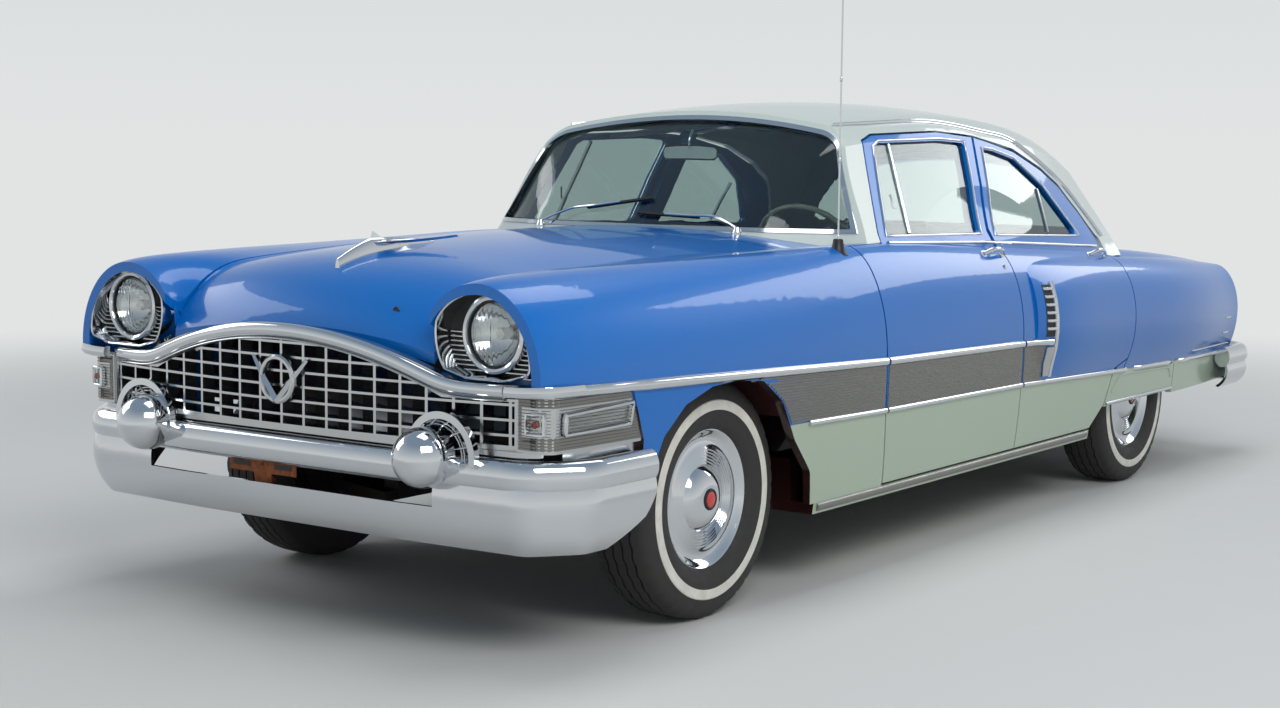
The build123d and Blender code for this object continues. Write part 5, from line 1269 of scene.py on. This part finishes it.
dialRings, dialFaces, needles = [], [], []
for y, z, radius in dash["dials"]:
    spot = onDash(y, z)
    reach = radius / 1000
    dialRings.append(turn([(radius, 6), (radius + 8, 6), (radius + 9, -4), (radius + 5, -12), (radius, -9)],
                          spot, "X", 64))
    dialFaces.append(turn([(0, 4), (radius + 2, 4), (radius + 2, -3), (0, -3)], spot, "X", 48))
    needles.append(bar([spot + Vector((-0.006, 0, 0)), spot + Vector((-0.007, reach * 0.4, reach * 0.4)),
                        spot + Vector((-0.006, reach * 0.72, reach * 0.6))], 1.3, 3, 6))
    for k in range(-5, 6):
        angle = math.radians(90 + 24 * k)
        way = Vector((0, math.cos(angle), math.sin(angle)))
        mark = [spot + way * (reach * share) + Vector((-0.004, 0, 0)) for share in (0.74, 0.9)]
        needles.append(strip(mark, [back] * 2, [(-0.9, -1), (-0.9, 1), (0.9, 1), (0.9, -1)]))
makePiece("dialRings", merge(dialRings), chrome, "body")
makePiece("dialFaces", merge(dialFaces), blackRubber, "body")
makePiece("dialNeedles", merge(needles), cream, "body")
bars = []
for k in range(dash["bars"]):
    z = dash["barZ"] + k * dash["barPitch"]
    bars.append(strip([onDash(y, z, -0.001) for y in (-0.14, -0.05, 0.05, 0.14)], [back] * 4, crown(5, 6)))
makePiece("radioGrille", merge(bars), dieCast, "body")
knobOutline = [(0, 4), (4, 4), (4, -8), (10, -10), (11, -18), (8, -22), (0, -23)]
knobs = [turn(knobOutline, onDash(y, z), "X", 32) for y, z in dash["knobs"]]
makePiece("dashKnobs", merge(knobs), cream, "body")
edge = [onDash(y, z) for y, z in around(dash["lid"], 6)]
seamSection = [(2, -2), (1.5, 2), (-1.5, 2), (-2, -2)]
makePiece("gloveLidSeam", strip(edge, [back] * len(edge), seamSection, loop=True), blackRubber, "body")
lock = onDash(*dash["lock"])
makePiece("gloveLidLock", turn([(0, 3), (11, 3), (11, -6), (8, -11), (0, -12)], lock, "X", 32), chrome,
          "body")
line = [onDash(y / 10, dash["stripZ"], -0.001) for y in range(-6, 7)]
makePiece("dashStrip", strip(line, [back] * len(line), crown(9, 5)), chrome, "body")
pad = []
for y in range(-6, 7):
    face = onDash(y / 10, 1.00).x
    pad.append([(x, y / 10, z) for x, z in (
        (face - 0.004, 1.000), (face - 0.018, 1.012), (0.705, 1.052), (0.735, 1.066), (0.79, 1.062),
        (0.79, 1.050), (0.74, 1.050), (0.71, 1.030))])
makePiece("dashPad", skin(pad), leatherCloth, "body", soften=1)

# Mirror, headlining and visors under the roof
inside = dict(mirrorZ=1.385, mirrorHalf=0.115, liningX=0.30, liningLength=1.22, seams=14, visorX=(0.44, 0.30),
              visorY=(0.08, 0.30, 0.50))
glassSpot, out = fromFront(screenTree, 0.0, inside["mirrorZ"])
mirror = glassSpot + Vector((-0.085, 0, -0.005))
line = [mirror + Vector((0.0, y, 0.004 * (1 - (y / inside["mirrorHalf"]) ** 2))) for y in
        (-0.115, -0.105, -0.05, 0.0, 0.05, 0.105, 0.115)]
section = [(-26, -3), (26, -3), (28, 1), (22, 10), (-22, 10), (-28, 1)]
makePiece("mirrorShell", strip(line, [(1, 0, 0)] * 7, section, scales=[0.55, 0.9, 1, 1, 1, 0.9, 0.55]),
          chrome, "body")
stem = [mirror + Vector(step) for step in ((0.008, 0, 0.015), (0.010, 0, 0.05), (-0.01, 0, 0.085))]
makePiece("mirrorStem", bar(stem, 5), chrome, "body")


def underRoof(x, y, drop):
    spot, out = touch(roofTree, (x, y, 1.15), (0, 0, 1))
    return spot - Vector((0, 0, drop))


lining = []
for k in range(inside["seams"] + 1):  # the cloth is drawn up to a bow at every other seam
    x = inside["liningX"] - inside["liningLength"] * k / inside["seams"]
    sag = 0.016 if k % 2 else 0.008
    top = [underRoof(x, y / 10, sag) for y in range(-5, 6)]
    lining.append(top + [p - Vector((0, 0, 0.004)) for p in reversed(top)])
makePiece("headLining", skin(lining), seatCloth, "body")
visors = []
for side in (-1, 1):
    front, rear = [], []
    for y in inside["visorY"]:  # the front edge hangs on from where the roof ends
        front.append(underRoof(0.40, side * y, 0.034) + Vector((inside["visorX"][0] - 0.40, 0, 0)))
        rear.append(underRoof(inside["visorX"][1], side * y, 0.040))
    outline = front + rear[::-1]
    visors.append(skin([outline, [p - Vector((0, 0, 0.010)) for p in outline]]))
makePiece("sunVisors", merge(visors), leatherCloth, "body", bevel=3.0)

# Door cards: grained panels on the doors' inner faces, with armrest, handle, crank and a bright strip
card = dict(lowZ=0.44, rowPitch=0.052, rows=11, pleats=12, lift=0.0025, stripZ=0.84, restZ=0.735)
cards = {  # body, X of the card's ends and the armrest's, (x, z) of the handle and the window crank
    "Front": ("door_front_left", (-0.135, 0.790), (0.05, 0.30), (0.52, 0.80), (0.20, 0.72)),
    "Rear": ("door_rear_left", (-0.900, -0.250), (-0.72, -0.48), (-0.36, 0.78), (-0.62, 0.72))}


def onCard(tree, x, z, lift=0.0):
    spot, out = touch(tree, (x, 0.3, z), (0, 1, 0))
    return spot - Vector((0, lift, 0))


for name, (body, (x0, x1), (rest0, rest1), handleSpot, crankSpot) in cards.items():
    inner = treeOf(body)
    columns = [x0 + (x1 - x0) * k / card["pleats"] for k in range(card["pleats"] + 1)]
    sheets = []
    for k, x in enumerate(columns):
        outer = [onCard(inner, x, card["lowZ"] + card["rowPitch"] * j, card["lift"])
                 for j in range(card["rows"])]
        pleat = 0.0055 if k % 2 else 0.0085
        sheets.append(outer + [p - Vector((0, pleat, 0)) for p in reversed(outer)])
    makePiece("doorCard" + name, skin(sheets), leatherCloth, body, both=True)
    line = [onCard(inner, x, card["stripZ"], 0.008) for x in columns]
    makePiece("doorCardStrip" + name, strip(line, [(0, -1, 0)] * len(line), crown(14, 6)), chrome, body,
              both=True)
    line = [onCard(inner, rest0 + (rest1 - rest0) * t, card["restZ"], 0.030)
            for t in (0.0, 0.15, 0.5, 0.85, 1.0)]
    section = [(-22, -30), (-22, 12), (-12, 22), (12, 24), (22, 14), (22, -30)]
    makePiece("armRest" + name, strip(line, [(0, -1, 0)] * 5, section, scales=[0.75, 1.0, 1.0, 1.0, 0.75]),
              seatCloth, body, both=True, soften=1)
    for kind, (x, z), reach in [("innerHandle", handleSpot, 0.085), ("windowCrank", crankSpot, 0.095)]:
        foot = onCard(inner, x, z, 0.006)
        lever = [foot - Vector(step) for step in
                 ((0, 0.010, 0), (reach * 0.4, 0.024, 0.010), (reach, 0.026, 0.018))]
        boss = turn([(0, 4), (20, 4), (20, -4), (13, -12), (0, -14)], foot, "Y", 32)
        parts = [boss, bar(lever, 5.5, 5, 10)]
        if kind == "windowCrank":
            knob = foot - Vector((reach, 0.030, 0.018))
            parts.append(turn([(0, 0), (8, 0), (9, -8), (8, -20), (0, -22)], knob, "Y", 24))
        makePiece(kind + name, merge(parts), chrome, body, both=True)
print("dash, mirror, lining and door cards made")

# Rear end: lamp rims, lid handle, blank plate with its lamp, bright strips, exhaust tip and aerial foot
rear = dict(lampY=0.785, lampZ=0.706, lampHalfY=0.054, lampHalfZ=0.112, lampSquare=0.55, barZ=(0.668, 0.744),
            plateZ=0.665, plateHalf=0.1525, plateTall=0.076, stripZ=0.583)
rearTree = treeOf("quarter_panels tail_lamps tail_panel")
lidTree = treeOf("trunk_lid")
lensTree = treeOf("tail_lamps")

edge = []
for k in range(40):
    c, s = math.cos(math.tau * k / 40), math.sin(math.tau * k / 40)
    y = rear["lampY"] + rear["lampHalfY"] * math.copysign(abs(c) ** rear["lampSquare"], c)
    z = rear["lampZ"] + rear["lampHalfZ"] * math.copysign(abs(s) ** rear["lampSquare"], s)
    edge.append(fromBehind(rearTree, y, z)[0])
section = [(5, -8), (6, 2), (3, 7), (-3, 7), (-6, 2), (-5, -8)]
makePiece("tailLampRim", strip(edge, [back] * len(edge), section, loop=True), chrome, "body", both=True)
bars = []
for z in rear["barZ"]:
    spots = [fromBehind(lensTree, y, z)[0] for y in (0.745, 0.765, 0.785, 0.805, 0.825)]
    bars.append(strip(spots, [back] * 5, crown(8, 5)))
makePiece("tailLampBars", merge(bars), chrome, "body", both=True)
spot = fromBehind(lensTree, rear["lampY"], rear["lampZ"])[0]
makePiece("tailReflector", turn([(0, -7), (14, -6), (19, -3), (21, 2), (0, 2)], spot, "X", 32), rubyGlass,
          "body", both=True)

half, tall = rear["plateHalf"], rear["plateTall"]
sheet = [(-tall, 0.012), (0.0, 0.012), (tall, 0.012), (tall, 0.009), (0.0, 0.009), (-tall, 0.009)]
rings = []
for t in range(9):
    y = -half + 2 * half * t / 8
    rings.append([fromBehind(lidTree, y, rear["plateZ"] + up)[0] - Vector((gap, 0, 0)) for up, gap in sheet])
makePiece("blankPlate", skin(rings), stainless, "trunk_lid")
edge = [fromBehind(lidTree, y * 1.02, rear["plateZ"] + z * 1.03)[0]
        for y, z in around([(-half, -tall), (-half, tall), (half, tall), (half, -tall)], 5)]
section = [(4, -3), (4, 12), (2, 15), (-2, 15), (-4, 12), (-4, -3)]
makePiece("plateFrame", strip(edge, [back] * len(edge), section, loop=True), chrome, "trunk_lid")
rings = []
hoodSection = [(-0.004, 0.018), (0.018, 0.016), (0.032, 0.004), (0.034, -0.008), (0.028, -0.012),
               (-0.004, -0.012)]
for y in (-0.085, -0.075, -0.04, 0.0, 0.04, 0.075, 0.085):
    base = fromBehind(lidTree, y, rear["plateZ"] + tall + 0.030)[0]
    fade = 0.5 if abs(y) > 0.08 else 1.0
    rings.append([base + Vector((-x * fade, 0, z)) for x, z in hoodSection])
makePiece("plateLamp", skin(rings), chrome, "trunk_lid", soften=1)
grip = fromBehind(lidTree, 0.0, rear["plateZ"] + tall + 0.085)[0]
pull = [grip + Vector(step) for step in ((0.003, -0.085, 0), (-0.022, -0.06, 0), (-0.028, 0, 0.004),
                                         (-0.022, 0.06, 0), (0.003, 0.085, 0))]
makePiece("lidHandle", bar(pull, 8.5, 6, 12, scales=[0.8] + [1.0] * 23 + [0.8]), chrome, "trunk_lid")
lock = fromBehind(lidTree, 0.0, rear["plateZ"] + tall + 0.058)[0]
makePiece("lidLock", turn([(0, 3), (13, 3), (13, -3), (9, -6), (0, -6)], lock, "X", 32), chrome, "trunk_lid")
line = [fromBehind(lidTree, y / 100, rear["stripZ"])[0] for y in range(-50, 51, 10)]
makePiece("lidStrip", strip(line, [back] * len(line), crown(12, 7)), chrome, "trunk_lid")

pipeEnd = dict(spot=(-2.62, -0.30, 0.28), outline=[
    (25.5, -38), (27, -42), (30, -42), (31, -36), (30, 60), (27, 66), (25.5, 66)])
makePiece("exhaustTip", turn(pipeEnd["outline"], pipeEnd["spot"], "X", 48), chrome, "body")
aerial = dict(x=0.957, y=0.815, collarZ=1.10, collars=(10, 260, 520), foot=[
    (14.5, -8), (34, -8), (35, 0), (29, 8), (22, 20), (18, 40), (16.5, 50), (14.5, 52)])
foot, out = touch(treeOf("cowl front_fenders aerial"), (aerial["x"], 0.848, 1.4), (0, 0, -1))
spot = (aerial["x"], aerial["y"], foot.z + 0.001)
makePiece("aerialFoot", turn(aerial["foot"], spot, "Z", 32), blackRubber, "body")
collars = [turn([(3.0, a), (5.2, a + 2), (5.2, a + 12), (3.0, a + 14)],
                (aerial["x"], aerial["y"], aerial["collarZ"]), "Z", 20) for a in aerial["collars"]]
makePiece("aerialCollars", merge(collars), chrome, "body")
print("rear end made")

# Engine bay: covers, air cleaner, fan, belt, hose and leads on the plain block
bay = dict(top=0.960, coverY=0.150, boltX=(1.30, 1.48, 1.66, 1.84), boltY=0.046, cleanerX=1.56,
           cleanerTop=1.085, hoodGap=0.018, fan=(2.03, 0, 0.80), blades=5, beltX=1.985)
coverSection = [(-52, 0), (-52, 6), (-40, 8), (-36, 34), (-24, 46), (24, 46), (36, 34), (40, 8), (52, 6),
                (52, 0)]
covers, bolts = [], []
for side in (-1, 1):  # rocker covers with their rolled edge and bolts
    rings = []
    for x, fade in ((1.24, 0.82), (1.25, 0.96), (1.27, 1.0), (1.90, 1.0), (1.92, 0.96), (1.93, 0.82)):
        rings.append([Vector((x, side * (bay["coverY"] + w * fade / 1000),
                              bay["top"] - 0.002 + h * fade / 1000)) for w, h in coverSection])
    covers.append(skin(rings))
    for x in bay["boltX"]:
        for w in (-bay["boltY"], bay["boltY"]):
            bolts.append(turn([(0, 0), (6, 0), (6, 6), (4, 8), (0, 8)],
                              (x, side * bay["coverY"] + w, bay["top"] + 0.004), "Z", 6))
makePiece("rockerCovers", merge(covers), engineEnamel, "body", bevel=2.0)
makePiece("rockerBolts", merge(bolts), castIron, "body")
under, out = touch(hoodTree, (bay["cleanerX"], 0.0, 0.99), (0, 0, 1))
cleanerZ = min(under.z - bay["hoodGap"], bay["cleanerTop"])
cleaner = (bay["cleanerX"], 0, cleanerZ)
deep = (cleanerZ - bay["top"]) * 1000  # mm from its lid down to the engine
cleanerOutline = [(0, 0), (8, 0), (9, -4), (60, -7), (120, -9), (150, -14), (160, -22),
                  (160, -min(58, deep - 12)), (150, -min(66, deep - 6)), (70, -min(70, deep - 4)),
                  (45, -deep - 2), (0, -deep - 2)]
makePiece("airCleaner", turn(cleanerOutline, cleaner, "Z", 72), blackRubber, "body")
makePiece("airCleanerBand", turn([(158, -26), (163, -27), (163, -34), (158, -35)], cleaner, "Z", 72), chrome,
          "body")
makePiece("airCleanerNut", turn([(0, 12), (7, 12), (9, 8), (9, -2), (0, -2)], cleaner, "Z", 24), chrome,
          "body")
hub = Vector(bay["fan"])
parts = []
for k in range(bay["blades"]):
    angle = math.tau * k / bay["blades"]
    way = Vector((0, math.cos(angle), math.sin(angle)))
    flat = Vector((0, -math.sin(angle), math.cos(angle)))
    rings = []
    for r, wide in ((0.035, 0.022), (0.08, 0.040), (0.14, 0.050), (0.185, 0.046)):
        rings.append([hub + way * r + flat * wide * sign + Vector((x, 0, 0)) for sign, x in
                      ((1, 0.012), (1, 0.014), (-1, -0.010), (-1, -0.012))])
    parts.append(skin(rings))
parts.append(turn([(0, 14), (34, 14), (40, 6), (40, -8), (30, -12), (24, -72), (0, -72)], hub, "X", 40))
makePiece("coolingFan", merge(parts), castIron, "body", sharp=40)
pulleys = [  # (y, z, radius in mm), and the degrees over which the belt lies on it
    (0.0, 0.56, 80, 180, 350), (0.19, 0.86, 40, -10, 130), (0.0, 0.80, 62, 130, 180)]
parts, loop = [], []
for y, z, radius, start, end in pulleys:
    groove = [(0, -12), (radius, -12), (radius, -8), (radius - 9, 0), (radius, 8), (radius, 12), (0, 12)]
    parts.append(turn(groove, (bay["beltX"], y, z), "X", 48))
    for k in range(9):
        a = math.radians(start + (end - start) * k / 8)
        loop.append(Vector((bay["beltX"], y + radius / 1000 * math.cos(a), z + radius / 1000 * math.sin(a))))
makePiece("beltPulleys", merge(parts), chassisBlack, "body")
makePiece("fanBelt", strip(loop, [(1, 0, 0)] * len(loop), [(3, -6), (3, 6), (-3, 6), (-3, -6)], loop=True),
          blackRubber, "body")
makePiece("dynamo", turn([(0, -30), (46, -28), (52, -20), (52, 190), (46, 200), (0, 200)], (1.77, 0.27, 0.86),
                         "X", 48), castIron, "body")
hose = [(1.93, -0.05, 0.930), (2.02, -0.05, 0.962), (2.14, -0.06, 0.968), (2.24, -0.08, 0.945),
        (2.31, -0.09, 0.905)]
makePiece("topHose", bar(hose, 20, 6, 16, up=(0, 1, 0)), blackRubber, "body")
makePiece("radiatorCap", turn([(0, 24), (24, 22), (30, 16), (30, 8), (18, 4), (18, -8), (0, -8)],
                              (2.322, 0.10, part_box("radiator")[1][2]), "Z", 32), chrome, "body")
for number, x in enumerate((1.34, 1.44)):
    makePiece("oilCap" + str(number), turn([(0, 26), (20, 24), (24, 16), (24, 6), (14, 0), (14, -8), (0, -8)],
                                          (x, -0.02, bay["top"]), "Z", 28), castIron, "body")
leads = []
for side in (-1, 1):
    for k, x in enumerate((1.33, 1.48, 1.63, 1.78)):
        leads.append(bar([(1.26, 0.0, 0.985), (1.28 + 0.02 * k, side * 0.04, 0.998),
                          (x - 0.06, side * 0.222, 0.985), (x, side * 0.235, 0.93)], 3.6, 6, 8))
makePiece("plugLeads", merge(leads), blackRubber, "body")
makePiece("distributor", turn([(0, 48), (22, 46), (34, 34), (36, 10), (30, 4), (24, -2), (24, -24), (0, -24)],
                              (1.235, 0, 0.965), "Z", 40), blackRubber, "body")
print("engine dressed")
